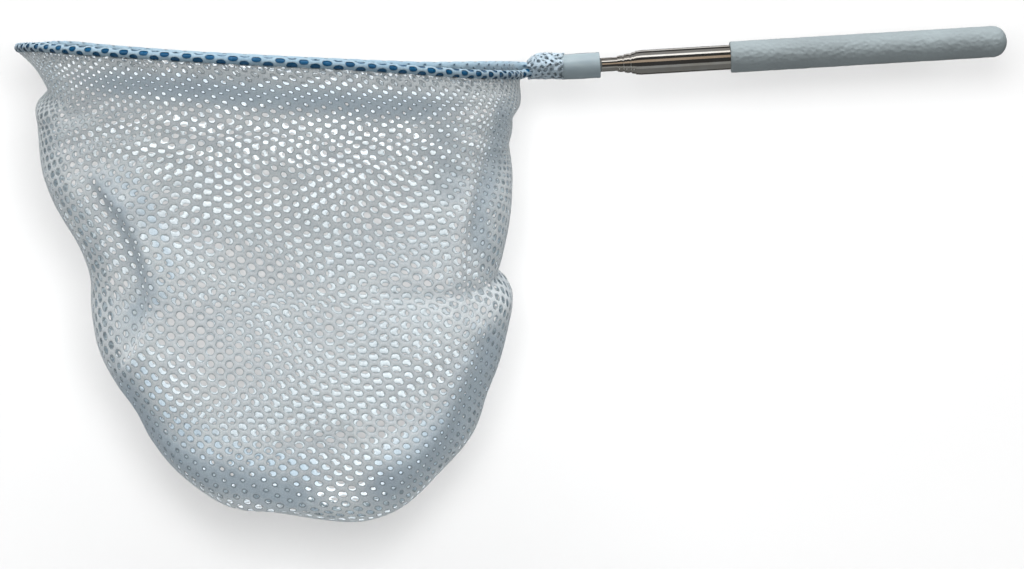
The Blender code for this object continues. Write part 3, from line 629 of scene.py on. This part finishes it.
def knitOn(name, s, centres, surface, material, wrap=(None, None), openness=1.0):
    border, hole = cellShape(s)
    random = np.random.default_rng(s["seed"])
    count = len(centres)
    borderPoints = (centres[:, None, :] + border).reshape(-1, 2)
    keyPoints = borderPoints.copy()
    for k, period in enumerate(wrap):
        if period:
            keyPoints[:, k] -= period * np.floor((keyPoints[:, k] + 0.005 * mm) / period)
    keys = np.round(keyPoints / (0.02 * mm)).astype(np.int64)
    _, first, shared = np.unique(keys, axis=0, return_index=True, return_inverse=True)
    shared = shared.reshape(count, 12)
    ridge = borderPoints[first] + random.normal(0, s["jitter"], (len(first), 2))
    size = (1 + random.normal(0, s["sizeSpread"], (count, 1, 1))) * np.reshape(openness, (-1, 1, 1))
    shift = random.normal(0, s["jitter"], (count, 1, 2))
    holes = (centres[:, None, :] + shift + hole * size).reshape(-1, 2)
    ridgePlace, ridgeNormal = surface(ridge[:, 0], ridge[:, 1])
    holePlace, _ = surface(holes[:, 0], holes[:, 1])
    thick = ridgeNormal * s["yarn"] / 2
    vertices = np.concatenate([ridgePlace + thick, ridgePlace - thick, holePlace])
    ridgeCount = len(ridge)
    holeIndex = 2 * ridgeCount + np.arange(count * 12).reshape(count, 12)
    nextShared, nextHole = np.roll(shared, -1, axis=1), np.roll(holeIndex, -1, axis=1)
    top = np.stack([shared, nextShared, nextHole, holeIndex], axis=-1).reshape(-1, 4)
    lower, nextLower = shared + ridgeCount, nextShared + ridgeCount
    bottom = np.stack([nextLower, lower, holeIndex, nextHole], axis=-1).reshape(-1, 4)
    edges = np.stack([shared, nextShared], axis=-1).reshape(-1, 2)
    _, where, uses = np.unique(np.sort(edges, axis=1), axis=0, return_index=True, return_counts=True)
    start, end = edges[where[uses == 1]].T
    rim = np.stack([end, start, start + ridgeCount, end + ridgeCount], axis=-1)
    piece = linkMesh(name, vertices, np.concatenate([top, bottom, rim]).tolist(), material)
    mesh = piece.data
    ends = np.empty(2 * len(mesh.edges), dtype=np.int64)
    mesh.edges.foreach_get("vertices", ends)
    atHole = (ends.reshape(-1, 2) >= 2 * ridgeCount).all(axis=1)
    writeValues(mesh, "sharp_edge", "BOOLEAN", "EDGE", atHole)
    # 1 at the hole edges, where the yarn's material paints shade
    writeValues(mesh, "nearHole", "FLOAT", "POINT", np.repeat([0.0, 1.0], [2 * ridgeCount, count * 12]))
    # how far each cell's openings close; the net yarn paints shade by this share
    closedBy = np.repeat(1 - np.broadcast_to(openness, count), 12)
    ridgeClosed = np.zeros(ridgeCount)
    np.maximum.at(ridgeClosed, shared.ravel(), closedBy)
    writeValues(mesh, "closed", "FLOAT", "POINT", np.concatenate([ridgeClosed, ridgeClosed, closedBy]))
    turnOutwards(mesh)
    return piece


def declareSheet(piece, width, length):
    yarnArea = sum(polygon.area for polygon in piece.data.polygons) / 2
    faces, yarnShare = len(piece.data.polygons), yarnArea / width / length
    print(f"{piece.name}: {faces} faces, flat {width:.4f} x {length:.4f}, yarn share {yarnShare:.2f}")


# bag
bag = {
    "depth": 182 * mm, "drop": 1.75 * mm, "edgeY": 0.5 * mm, "rows": 200, "columns": 280,
    "tipEdge": [(0, 0), (.03, .029), (.05, .064), (.053, .076), (.045, .087), (.027, .11), (.028, .142),
                (.032, .234), (.053, .309), (.094, .395), (.114, .47), (.112, .54), (.12, .624), (.146, .693),
                (.187, .762), (.217, .831), (.266, .899), (.34, .958), (.385, .962), (.434, .968),
                (.5, .983), (.564, 1)],
    "neckEdge": [(1, 0), (.998, .02), (.997, .06), (.981, .088), (.977, .12), (.969, .15), (.972, .22),
                 (.962, .309), (.941, .397), (.931, .428), (.948, .452), (.958, .49), (.945, .555),
                 (.925, .626), (.897, .697), (.862, .79), (.793, .876), (.724, .949), (.655, .987),
                 (.564, 1)],
    "swell": [(0, 1), (.06, .82), (.13, .62), (.22, .54), (.5, .47), (.7, .4), (.84, .31), (.94, .18),
              (1, 0)],
    "sag": [(0, 0), (.07, .04), (.15, .09), (.3, .07), (.6, .03), (1, 0)],
    "flatness": 0.25, "flatFrom": 0.2, "fullness": [(0, .8), (.1, .86), (.2, 1), (1, 1)], "margin": 0.6 * mm,
}
# sharp folds of the front (-1) and the back (1): lines of (x, z), with depth, width and reach, all in mm
creases = {
    -1: [
        {"line": [(-305, -30), (-292, -50), (-286, -67), (-286, -84), (-292, -98), (-303, -111)],
         "depth": 8, "width": 1.4, "reach": 26, "sign": 1},
        {"line": [(-150, -8), (-156, -40), (-162, -65), (-163, -88), (-156, -102)],
         "depth": 6, "width": 1.6, "reach": 24, "sign": -1},
        {"line": [(-156, -96), (-163, -115), (-174, -138), (-190, -157), (-206, -167)],
         "depth": 6, "width": 2.2, "reach": 30, "sign": -1},
        {"line": [(-303, -113), (-291, -132), (-276, -150), (-258, -163), (-236, -171)],
         "depth": 5, "width": 2.4, "reach": 30, "sign": 1},
    ],
    1: [
        {"line": [(-309, -50), (-298, -75), (-300, -100), (-308, -110)],
         "depth": 5, "width": 2.0, "reach": 26, "sign": 1},
        {"line": [(-146, -20), (-166, -60), (-170, -90), (-160, -120)],
         "depth": 6, "width": 2.0, "reach": 30, "sign": -1},
        {"line": [(-290, -140), (-262, -158), (-232, -166), (-200, -160)],
         "depth": 5, "width": 2.5, "reach": 26, "sign": 1},
    ],
}


# where the mesh bunches up: lines of (x, z) and half widths in mm, and by what share its openings close,
# which is also the share of painted shade on the net yarn
bunched = [
    {"line": [(-318, 7), (-287, 4), (-244, -2.5), (-205, -8), (-174, -12), (-150, -9)],
     "width": 6, "closes": 0.55},
    {"line": [(-309, -27), (-297, -38), (-287, -64), (-286, -78), (-299, -97)], "width": 4, "closes": 0.5},
    {"line": [(-142, -6), (-149, -31), (-157, -60), (-152, -76)], "width": 4.5, "closes": 0.5},
    {"line": [(-166, -12), (-168, -30), (-166, -52)], "width": 8, "closes": 0.3},
    {"line": [(-147, -92), (-160, -117), (-173, -138), (-194, -155), (-214, -163)],
     "width": 8, "closes": 0.6},
    {"line": [(-305, -99), (-287, -133), (-268, -148), (-253, -152), (-218, -165)],
     "width": 7, "closes": 0.64},
    {"line": [(-232, -26), (-225, -45), (-216, -63)], "width": 3, "closes": 0.2},
]


def openAt(place, edges):
    x, z = place[:, 0], place[:, 2]
    # openings close near the outline and where the mesh bunches up; the net yarn paints shade by the same
    # share
    closed = 0.2 * np.exp(-(edges / (5 * mm)) ** 2)
    for fold in bunched:
        nearest, _, along = nearestOn(fold["line"], x, z)
        fade = np.clip(along / 0.15, 0, 1) * np.clip((1 - along) / 0.15, 0, 1)
        closed = np.maximum(closed, fold["closes"] * fade * np.exp(-(nearest / (fold["width"] * mm)) ** 2))
    return 1 - closed


def blurred(pairs, share, width=0.03):
    xs, ys = zip(*pairs)
    steps = np.linspace(-width, width, 7)
    return sum(np.interp(np.clip(share + step, 0, 1), xs, ys) for step in steps) / 7


def bagEdge(pairs, s):
    tip, neck = hoopPoint(hoopCentre + hoop["radius"] * np.array([1.0, -1.0]), 0.0)
    points = []
    for along, down in pairs:
        point = tip + (neck - tip) * along
        points.append(point - np.array([0, 0, s["drop"] + (s["depth"] - s["drop"]) * down]))
    return smoothPath(points, s["rows"] + 1)


def nearestOn(line, x, z):  # how far each place is from a line, on which side of it, and how far along it
    line = smoothPath([(a * mm, 0, b * mm) for a, b in line], 50)[:, [0, 2]]
    flat = np.stack([x.ravel(), z.ravel()], axis=1)
    nearest, side, along = np.full(len(flat), 9.0), np.zeros(len(flat)), np.zeros(len(flat))
    for i in range(len(line) - 1):
        run = line[i + 1] - line[i]
        t = np.clip(((flat - line[i]) @ run) / (run @ run), 0, 1)
        gap = flat - (line[i] + t[:, None] * run)
        distance = np.linalg.norm(gap, axis=1)
        closer = distance < nearest
        nearest = np.where(closer, distance, nearest)
        side = np.where(closer, np.sign(run[0] * gap[:, 1] - run[1] * gap[:, 0]), side)
        along = np.where(closer, (i + t) / (len(line) - 1), along)
    return nearest, side, along


outline = np.concatenate([bagEdge(bag["tipEdge"], bag), bagEdge(bag["neckEdge"], bag)[-2::-1]])
outline = evenPoints(outline, 900)
outlineArc = arcLength(outline)
kernel = np.ones(25) / 25
padded = np.pad(unit(np.gradient(outline, axis=0)), ((12, 12), (0, 0)), mode="edge")
outlineAlong = unit(np.stack([np.convolve(padded[:, k], kernel, mode="valid") for k in range(3)], axis=1))


def fromOutline(place):
    gaps = []
    for part in np.array_split(place, 20):  # in parts, to save memory
        apart = np.linalg.norm(outline[::3, None, ::2] - part[None, :, ::2], axis=2)
        gaps.append(apart.min(axis=0))
    return np.concatenate(gaps)


def creaseStep(x, z, crease):
    nearest, side, along = nearestOn(crease["line"], x, z)
    signed = nearest * side * crease["sign"]
    step = 0.5 * (1 + np.tanh(signed / (crease["width"] * mm)))
    fade = np.clip(along / 0.2, 0, 1) * np.clip((1 - along) / 0.2, 0, 1)
    depth = crease["depth"] * mm * step * np.exp(-np.maximum(signed, 0) / (crease["reach"] * mm))
    return (depth * fade ** 0.7).reshape(x.shape)


def bagSurface(side, s):
    share = np.linspace(0, 1, s["rows"] + 1)[:, None]
    left, right = bagEdge(s["tipEdge"], s), bagEdge(s["neckEdge"], s)
    turn = np.linspace(0, math.pi, s["columns"] + 1)[None, :]
    across, out = -np.cos(turn), np.sin(turn)
    full = hoop["radius"] - s["edgeY"]
    swell = blurred(s["swell"], share) * full
    swell = full + (swell - full) * np.clip(share / 0.04, 0, 1)
    sag = blurred(s["sag"], share) * s["depth"] * np.clip(share / 0.03, 0, 1)
    power = 1 - s["flatness"] * np.minimum(1, share / s["flatFrom"])
    along = 0.5 + 0.5 * np.sign(across) * np.abs(across) ** power
    bulge = np.maximum(out, 0) ** power
    base = left[:, None, :] + (right - left)[:, None, :] * along[..., None]
    x, y = base[..., 0], s["edgeY"] + swell * bulge
    apart = np.clip(out / 0.35, 0, 1)
    lift = apart * hoopLift(side, across) + (1 - apart) * (hoopLift(1, across) + hoopLift(-1, across)) / 2
    z = base[..., 2] - sag * bulge + lift * (1 - share) ** 2
    room = np.clip(share / 0.08, 0, 1) * np.clip(bulge * 1.6, 0, 1)
    y = y + sum(creaseStep(x, z, crease) for crease in creases[side]) * room
    slack = 0.45 * np.sin(x / (11 * mm) + 1.7 * side + z / (31 * mm)) * np.sin(z / (16 * mm) + side)
    slack = slack + 0.35 * np.sin(x / (17 * mm) - z / (11 * mm) + 2.1 * side)
    shoulder = np.exp(-((share - 0.1) / 0.045) ** 2)  # the fabric bunches where it turns in under the hoop
    pleats = (z + 0.22 * x * np.sin(x / (60 * mm))) / (1.7 * mm) + 1.2 * np.sin(x / (13 * mm))
    slack = slack + 1.1 * shoulder * np.sin(pleats)
    y = np.maximum(y + slack * mm * room, s["edgeY"])
    points = np.stack([x, side * y, z], axis=-1)
    steps = np.linalg.norm(np.diff(points, axis=1), axis=2)
    arc = np.concatenate([np.zeros((s["rows"] + 1, 1)), np.cumsum(steps, axis=1)], axis=1)
    arc = arc - arc[:, [s["columns"] // 2]]
    normals = unit(np.cross(np.gradient(points, axis=1), np.gradient(points, axis=0))) * -side
    fullness = np.interp(share, *zip(*s["fullness"]))
    down = arcLength(points[:, s["columns"] // 2])
    return {"points": points, "normals": normals, "arc": arc / fullness, "down": down}


def onBag(surface, p, q):
    rows, columns = surface["arc"].shape[0] - 1, surface["arc"].shape[1] - 1
    row = np.interp(q, surface["down"], np.arange(rows + 1))
    upper = np.minimum(row.astype(int), rows - 1)
    down = row - upper
    column = np.empty(len(p))
    for i in np.unique(upper):
        here = upper == i
        first = np.interp(p[here], surface["arc"][i], np.arange(columns + 1))
        second = np.interp(p[here], surface["arc"][i + 1], np.arange(columns + 1))
        column[here] = first + (second - first) * down[here]
    left = np.minimum(column.astype(int), columns - 1)
    right, down = (column - left)[:, None], down[:, None]
    found = []
    for field in (surface["points"], surface["normals"]):
        above = field[upper, left] * (1 - right) + field[upper, left + 1] * right
        below = field[upper + 1, left] * (1 - right) + field[upper + 1, left + 1] * right
        found.append(above * (1 - down) + below * down)
    return found[0], unit(found[1])


def insideBag(surface, centres, margin, lowest):
    rows = surface["arc"].shape[0] - 1
    row = np.clip(np.interp(centres[:, 1], surface["down"], np.arange(rows + 1)), 0, rows)
    low = np.interp(row, np.arange(rows + 1), surface["arc"][:, 0])
    high = np.interp(row, np.arange(rows + 1), surface["arc"][:, -1])
    keep = (centres[:, 0] > low + margin) & (centres[:, 0] < high - margin)
    return keep & (centres[:, 1] > 0) & (centres[:, 1] < lowest)


def drifted(p, q, side):  # the courses of the knit wander where the fabric hangs loose
    moved = p + (2.4 * np.sin(q / (21 * mm) + 1.1 * side) + 1.2 * np.sin(p / (17 * mm) + q / (29 * mm))) * mm
    return moved, q + (1.6 * np.sin(p / (26 * mm) + 0.8 * side) + 0.7 * np.sin(q / (19 * mm))) * mm


hem = {
    "width": 5.2 * mm, "inset": 0.75 * mm, "wave": 0.5 * mm, "shift": 3.1 * mm, "margin": 9 * mm,
    "stitch": 2.6 * mm, "stitchGap": 0.7 * mm, "stitchDown": 1.3 * mm, "stitchMargin": 4 * mm,
    "thread": 0.16 * mm, "proud": 0.12 * mm, "arch": 0.2 * mm,
}
stitchRuns = []
for name, side, node in (("netFront", -1, "net_front_panel"), ("netBack", 1, "net_back_panel")):
    surface = bagSurface(side, bag)
    width, length = float(np.ptp(surface["arc"])), float(surface["down"][-1])
    centres = cellCentres(knit, surface["arc"].min(), surface["arc"].max(), 0.0, length)
    wandered = np.stack(drifted(*centres.T, side), axis=1)
    netCentres = centres[insideBag(surface, wandered, bag["margin"], length - bag["margin"])]

    def netSurface(p, q):
        return onBag(surface, *drifted(p, q, side))

    place, _ = netSurface(*netCentres.T)
    netKnit = {**knit, "seed": 11 + side}
    net = knitOn(name, netKnit, netCentres, netSurface, netYarn, openness=openAt(place, fromOutline(place)))
    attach(net, "head")
    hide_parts(node)

    def hemSurface(p, q):
        place, normal = onBag(surface, p + hem["shift"], q)
        return place + normal * (hem["inset"] + hem["wave"] * np.sin(p / (4 * mm))[:, None]), normal

    hemCentres = centres[insideBag(surface, centres, hem["margin"], hem["width"])]
    fold = knitOn(name + "Hem", {**knit, "seed": 21 + side}, hemCentres, hemSurface, netYarn)
    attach(fold, "head")
    declareSheet(net, width, length)

    topP = surface["arc"][2]
    start = topP[0] + hem["stitchMargin"]
    while start + hem["stitch"] < topP[-1] - hem["stitchMargin"]:
        p = np.linspace(start, start + hem["stitch"], 6)
        place, normal = onBag(surface, p, np.full(6, hem["stitchDown"]))
        arch = np.sin(np.linspace(0, math.pi, 6))[:, None]
        stitchRuns.append(place + normal * (hem["proud"] + hem["arch"] * arch))
        start += hem["stitch"] + hem["stitchGap"]
hemStitches = threadPiece("hemStitches", stitchRuns, hem["thread"], 6, sewingThread)
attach(hemStitches, "head")
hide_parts("hem_thread")
print("bag knitted")


# rim sleeve: the same mesh, pulled tight round the hoop
rim = {
    "radius": 1.72 * mm, "rows": 6, "across": 8.6 * mm, "holeAcross": 1.84 * mm, "holeDown": 1.12 * mm,
    "yarn": 0.36 * mm, "jitter": 0.06 * mm, "sizeSpread": 0.05, "seed": 5, "start": math.radians(14),
    "twist": math.radians(26), "farEnd": 0.46, "farBlend": 0.01, "farCloses": 0.75,
}
rimLine = evenPoints(hoopLine(0.0, rim["start"]), 1600)
rimArc = arcLength(rimLine)
rimAlong = unit(np.gradient(rimLine, axis=0))


def onRim(p, q):
    reach = np.clip(p, 0, rimArc[-1])
    centre = readAlong(rimLine, rimArc, reach)
    along = unit(readAlong(rimAlong, rimArc, reach))
    out = unit(np.cross(along, hoopUp))
    up = np.cross(out, along)
    turn = q / rim["radius"] + rim["twist"] * np.cos(2 * math.pi * (p / rimArc[-1] - 0.7))
    normal = np.cos(turn)[:, None] * out + np.sin(turn)[:, None] * up
    return centre + normal * rim["radius"], normal


around = 2 * math.pi * rim["radius"]
cells = round(rimArc[-1] / rim["across"])
rim = {**rim, "down": around / rim["rows"] * 2, "across": rimArc[-1] / cells}
centres = np.array([
    (rim["across"] * (column + row % 2 / 2), row * rim["down"] / 2)
    for row in range(rim["rows"]) for column in range(cells)
])
# the mesh is pulled less tight on the far side, where the hoop's line starts
farSide = 1 / (1 + np.exp((centres[:, 0] / rimArc[-1] - rim["farEnd"]) / rim["farBlend"]))
rimOpenness = 1 - rim["farCloses"] * farSide
rimMesh = knitOn("rimSleeveMesh", rim, centres, onRim, rimYarn, wrap=(None, around), openness=rimOpenness)
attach(rimMesh, "head")
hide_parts("rim_sleeve")
declareSheet(rimMesh, float(rimArc[-1]), around)
print("rim sleeve knitted")


# neck gather
gather = {
    "rear": -120.4 * mm, "front": -134.2 * mm,
    "wide": [(0, 4.6), (.1, 5.6), (.3, 6.8), (.6, 7), (1, 6.3)],
    "high": [(0, 3.5), (.07, 3.9), (.2, 4.6), (.32, 4.95), (1, 4.9)],
    "lift": [(0, -.3), (.07, .1), (.2, .75), (.32, 1.1), (.65, .85), (1, .25)],
    "ruffle": 0.045, "cells": 9, "rows": 5, "yarn": 0.6 * mm,
    "holeAcross": 0.7 * mm, "holeDown": 0.52 * mm, "jitter": 0.36 * mm, "sizeSpread": 0.3, "seed": 8,
}


def gatherPoint(turn, share, s, grow=0.0):
    ruffle = np.sin(9 * turn + 2.2 * np.sin(5 * share))
    ruffle = ruffle + 0.7 * np.sin(5 * turn - 7 * share + 1.0)
    ruffle = ruffle + 0.5 * np.sin(14 * turn + 9 * share)
    ruffle = 1 + s["ruffle"] * ruffle * np.clip(share / 0.15, 0, 1) * (0.55 + 0.45 * share)
    wide = (np.interp(share, *zip(*s["wide"])) * mm + grow) * ruffle
    high = (np.interp(share, *zip(*s["high"])) * mm + grow) * ruffle
    x = s["front"] + (s["rear"] - s["front"]) * share + 0.5 * mm * np.sin(4 * turn + 1.3) * share
    z = np.interp(share, *zip(*s["lift"])) * mm + high * np.sin(turn)
    return np.stack([x, -wide * np.cos(turn), z], axis=-1)


def onGather(grow, shift):
    length = gather["rear"] - gather["front"]
    circumference = math.pi * (gather["wide"][-2][1] + gather["high"][-1][1]) * mm

    def surface(p, q):
        turn, share = 2 * math.pi * (p + shift) / circumference, q / length
        here = gatherPoint(turn, share, gather, grow)
        acrossWay = gatherPoint(turn + 0.01, share, gather, grow) - here
        downWay = gatherPoint(turn, share + 0.01, gather, grow) - here
        return here, unit(np.cross(downWay, acrossWay))

    return surface, circumference, length


for name, grow, shift in (("neckGatherOuter", 0.0, 0.0), ("neckGatherInner", -1.0 * mm, 2.6 * mm)):
    surface, circumference, length = onGather(grow, shift)
    cell = {**gather, "across": circumference / gather["cells"], "down": length / gather["rows"]}
    centres = np.array([
        (cell["across"] * (column + row % 2 / 2), row * cell["down"] / 2)
        for row in range(1, 2 * gather["rows"]) for column in range(gather["cells"])
    ])
    layer = knitOn(name, cell, centres, surface, gatherYarn, wrap=(circumference, None))
    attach(layer, "head")
    if grow == 0.0:
        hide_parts("neck_gather")
    declareSheet(layer, circumference, length)
print("neck gathered")


# side seam: both panels' edges folded in and overlocked
seam = {
    "width": 5.1 * mm, "wave": 0.2 * mm, "layer": 0.35 * mm, "ragged": 0.35 * mm, "endDrop": 4 * mm,
    "across": 6.6 * mm, "down": 4.1 * mm, "holeAcross": 1.45 * mm, "holeDown": 1.1 * mm, "yarn": 0.45 * mm,
    "jitter": 0.12 * mm, "sizeSpread": 0.15, "seed": 14, "stitch": 1.7 * mm, "thread": 0.13 * mm,
    "foldWidth": 0.8 * mm, "start": 3 * mm, "end": 4 * mm, "margin": 0.8 * mm, "stitchStart": 2 * mm,
    "stitchNear": 0.5 * mm, "stitchFar": 2.6 * mm,
}


def onSeam(p, q):  # the strip is folded along its middle over the bag's edge, with half of it on each side
    reach = np.clip(p, 0, outlineArc[-1])
    edge = readAlong(outline, outlineArc, reach)
    along = unit(readAlong(outlineAlong, outlineArc, reach))
    inward = np.stack([-along[:, 2], np.zeros(len(p)), along[:, 0]], axis=1)
    fromEdge = np.abs(q - seam["width"])
    side = np.clip((q - seam["width"]) / seam["foldWidth"], -1, 1)
    wave = seam["wave"] * np.sin(p / (5 * mm) + 1.3 * np.sin(p / (23 * mm))) * fromEdge / seam["width"]
    sideways = wave + side * seam["layer"]
    outward = np.stack([np.zeros(len(p)), np.where(side < 0, -1, 1), np.zeros(len(p))], axis=1)
    fromEdge = fromEdge + seam["ragged"] * np.sin(p / (0.9 * mm)) * np.sin(p / (3.7 * mm) + 1)
    return edge + inward * fromEdge[:, None] + np.array([0, 1, 0]) * sideways[:, None], outward


def underHoop(place):  # the seam's ends stop below the rim
    return place[:, 2] < (hoop["bendX"] - place[:, 0]) * math.tan(hoop["tilt"]) - seam["endDrop"]


centres = cellCentres(
    seam, seam["start"], outlineArc[-1] - seam["end"], seam["margin"], 2 * seam["width"] - seam["margin"])
centres = centres[underHoop(onSeam(*centres.T)[0])]
strip = knitOn("seamStrip", seam, centres, onSeam, seamYarn)
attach(strip, "head")
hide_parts("side_seam")
zigzag = []
for side in (-1, 1):
    p = np.arange(seam["stitchStart"], outlineArc[-1] - seam["end"], seam["stitch"] / 2)
    q = seam["width"] + side * np.where(np.arange(len(p)) % 2, seam["stitchNear"], seam["stitchFar"])
    fineP = np.linspace(p[0], p[-1], len(p) * 3)
    place, outward = onSeam(fineP, np.interp(fineP, p, q))
    zigzag.append((place + outward * seam["layer"])[underHoop(place)])
overlock = threadPiece("seamOverlock", zigzag, seam["thread"], 5, sewingThread)
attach(overlock, "head")
declareSheet(strip, float(outlineArc[-1]), 2 * seam["width"])
print("seam sewn")


# studio
studio = {
    "middleX": -0.15, "backdropY": 0.182, "floorZ": -0.245, "paperSize": 12, "paper": "#BCBCBC",
    "paperGlow": 0.1, "backdropGlow": 0.1, "floorGlow": 0.25, "ambient": 0.46, "ambientInGloss": 0.05,
    "cardDistance": 0.9, "cardLength": 3.0, "netX": -0.235, "netZ": -0.09, "bounceY": 0.14,
}


def addBackground(name, location, rotation, glow):
    bpy.ops.mesh.primitive_plane_add(size=studio["paperSize"], location=location, rotation=rotation)
    sheet = bpy.context.object
    sheet.name = name
    material, tree, shader = startMaterial(  # matt paper: an even ground without a shine
        name + "Paper", {"Base Color": studio["paper"], "Roughness": 1.0, "Specular IOR Level": 0.0})
    path = addNode(tree, "ShaderNodeLightPath")
    seen = spread(tree, path.outputs["Is Camera Ray"], studio["paperGlow"], glow)
    emission = addNode(tree, "ShaderNodeEmission", inputs={"Strength": seen})
    both = addNode(tree, "ShaderNodeAddShader")
    tree.links.new(shader.outputs["BSDF"], both.inputs[0])
    tree.links.new(emission.outputs["Emission"], both.inputs[1])
    behind = addNode(tree, "ShaderNodeNewGeometry")
    oneSided = addNode(tree, "ShaderNodeMixShader", inputs={"Fac": behind.outputs["Backfacing"]})
    tree.links.new(both.outputs["Shader"], oneSided.inputs[1])
    tree.links.new(addNode(tree, "ShaderNodeBsdfTransparent").outputs["BSDF"], oneSided.inputs[2])
    tree.links.new(oneSided.outputs["Shader"], tree.nodes["Material Output"].inputs["Surface"])
    sheet.data.materials.append(material)
    sheet.visible_glossy = sheet.visible_diffuse = False
    return sheet


def makeWorld():
    world = bpy.data.worlds.new("studio")
    bpy.context.scene.world = world
    world.use_nodes = True
    tree = world.node_tree
    path = addNode(tree, "ShaderNodeLightPath")
    ambient = spread(tree, path.outputs["Is Glossy Ray"], studio["ambient"], studio["ambientInGloss"])
    strength = spread(tree, path.outputs["Is Camera Ray"], ambient, 1.0)
    tree.nodes["Background"].inputs["Color"].default_value = (1, 1, 1, 1)
    tree.links.new(strength, tree.nodes["Background"].inputs["Strength"])


def addSun(name, direction, strength, angle):
    lamp = bpy.data.lights.new(name, "SUN")
    lamp.energy = strength
    lamp.angle = math.radians(angle)
    holder = bpy.data.objects.new(name, lamp)
    bpy.context.scene.collection.objects.link(holder)
    holder.rotation_euler = Vector(direction).to_track_quat("-Z", "Y").to_euler()
    holder.visible_glossy = False


def addPanel(name, location, towards, size, power):
    lamp = bpy.data.lights.new(name, "AREA")
    lamp.shape, lamp.energy = "RECTANGLE", power
    lamp.size, lamp.size_y = size
    holder = bpy.data.objects.new(name, lamp)
    bpy.context.scene.collection.objects.link(holder)
    holder.location = location
    holder.rotation_euler = (Vector(towards) - Vector(location)).to_track_quat("-Z", "Y").to_euler()
    holder.visible_camera = holder.visible_glossy = holder.visible_transmission = False
    return holder


# a long card between two elevations, which only shows in shiny surfaces
def addCard(name, low, high, strength, colour):
    distance, middle = studio["cardDistance"], math.radians((low + high) / 2)
    place = (studio["middleX"], -distance * math.cos(middle), distance * math.sin(middle))
    bpy.ops.mesh.primitive_plane_add(size=1, location=place, rotation=(math.pi / 2 - middle, 0, 0))
    card = bpy.context.object
    card.name = name
    card.scale = (studio["cardLength"], 2 * distance * math.tan(math.radians(high - low) / 2), 1.0)
    bpy.ops.object.transform_apply(location=True, rotation=True, scale=True)
    material = bpy.data.materials.new(name + "Card")
    material.use_nodes = True
    tree = material.node_tree
    tree.nodes.remove(tree.nodes["Principled BSDF"])
    emission = addNode(tree, "ShaderNodeEmission", inputs={"Color": toLinear(colour), "Strength": strength})
    tree.links.new(emission.outputs["Emission"], tree.nodes["Material Output"].inputs["Surface"])
    card.data.materials.append(material)
    for ray in ("camera", "diffuse", "transmission", "volume_scatter", "shadow"):
        setattr(card, "visible_" + ray, False)


view = {"lens": 135.0, "sensor": 36.0, "pixels": 1024, "pixelSize": 0.394 * mm, "roll": math.radians(3.4),
        "centre": Vector((-145.5 * mm, 0.0, -84.3 * mm)), "eyeHeight": 1.7 * mm}


def makeCamera(s):
    camera = bpy.data.cameras.new("camera")
    camera.lens, camera.sensor_width = s["lens"], s["sensor"]
    holder = bpy.data.objects.new("camera", camera)
    bpy.context.scene.collection.objects.link(holder)
    distance = s["pixels"] * s["pixelSize"] / s["sensor"] * s["lens"]
    eye = Vector((s["centre"].x, -distance, s["eyeHeight"]))
    forward = (s["centre"] - eye).normalized()
    right = forward.cross(Vector((math.sin(s["roll"]), 0, math.cos(s["roll"])))).normalized()
    turn = Matrix((right, right.cross(forward), -forward)).transposed()
    holder.matrix_world = Matrix.Translation(eye) @ turn.to_4x4()
    bpy.context.scene.camera = holder


backdropPlace = (studio["middleX"], studio["backdropY"], 0)
backdrop = addBackground("backdrop", backdropPlace, (math.pi / 2, 0, 0), studio["backdropGlow"])
addBackground("floor", (studio["middleX"], 0, studio["floorZ"]), (0, 0, 0), studio["floorGlow"])
makeWorld()
addSun("topLamp", (0.0, 0.26, -0.97), 5.6, 50)
addSun("frontLamp", (-0.04, 1.0, -0.027), 0.6, 6)
# light that the paper throws back through the net
bouncePlace = (studio["netX"], studio["bounceY"], studio["netZ"])
addPanel("paperBounce", bouncePlace, (studio["netX"], 0, studio["netZ"]), (0.3, 0.26), 0.42)
# a soft shadow on the paper, from a lamp that lights nothing else
shadowAim = (-0.14, studio["backdropY"], -0.07)
shadowLamp = addPanel("shadowLamp", (-0.14, -1.3, 0.06), shadowAim, (0.155, 0.155), 15.6)
onPaper = bpy.data.collections.new("paper")
onPaper.objects.link(backdrop)
shadowLamp.light_linking.receiver_collection = onPaper
addCard("whiteStrip", 50, 67, 1.6, "#FFFFFF")
addCard("upperGrey", 67, 100, 0.33, "#FFFFFF")
addCard("warmStrip", 1, 23, 0.52, "#FFE9D2")
addCard("lowerGrey", -62, -37, 0.34, "#FBFFFF")
addCard("underGrey", -125, -62, 0.2, "#FBFFFF")
addCard("rearStrip", 125, 148, 0.9, "#FFFFFF")
addCard("rearGrey", 166, 212, 0.3, "#FFFFFF")
makeCamera(view)
bpy.context.scene.view_settings.view_transform = "Standard"
print("studio lit")


# inner pieces that keep their CAD shapes
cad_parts["end_plug"].material_slots[0].material = nylon
for n in range(1, 5):
    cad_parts[f"friction_sleeve_{n}"].material_slots[0].material = bronze
print("inner pieces dressed")
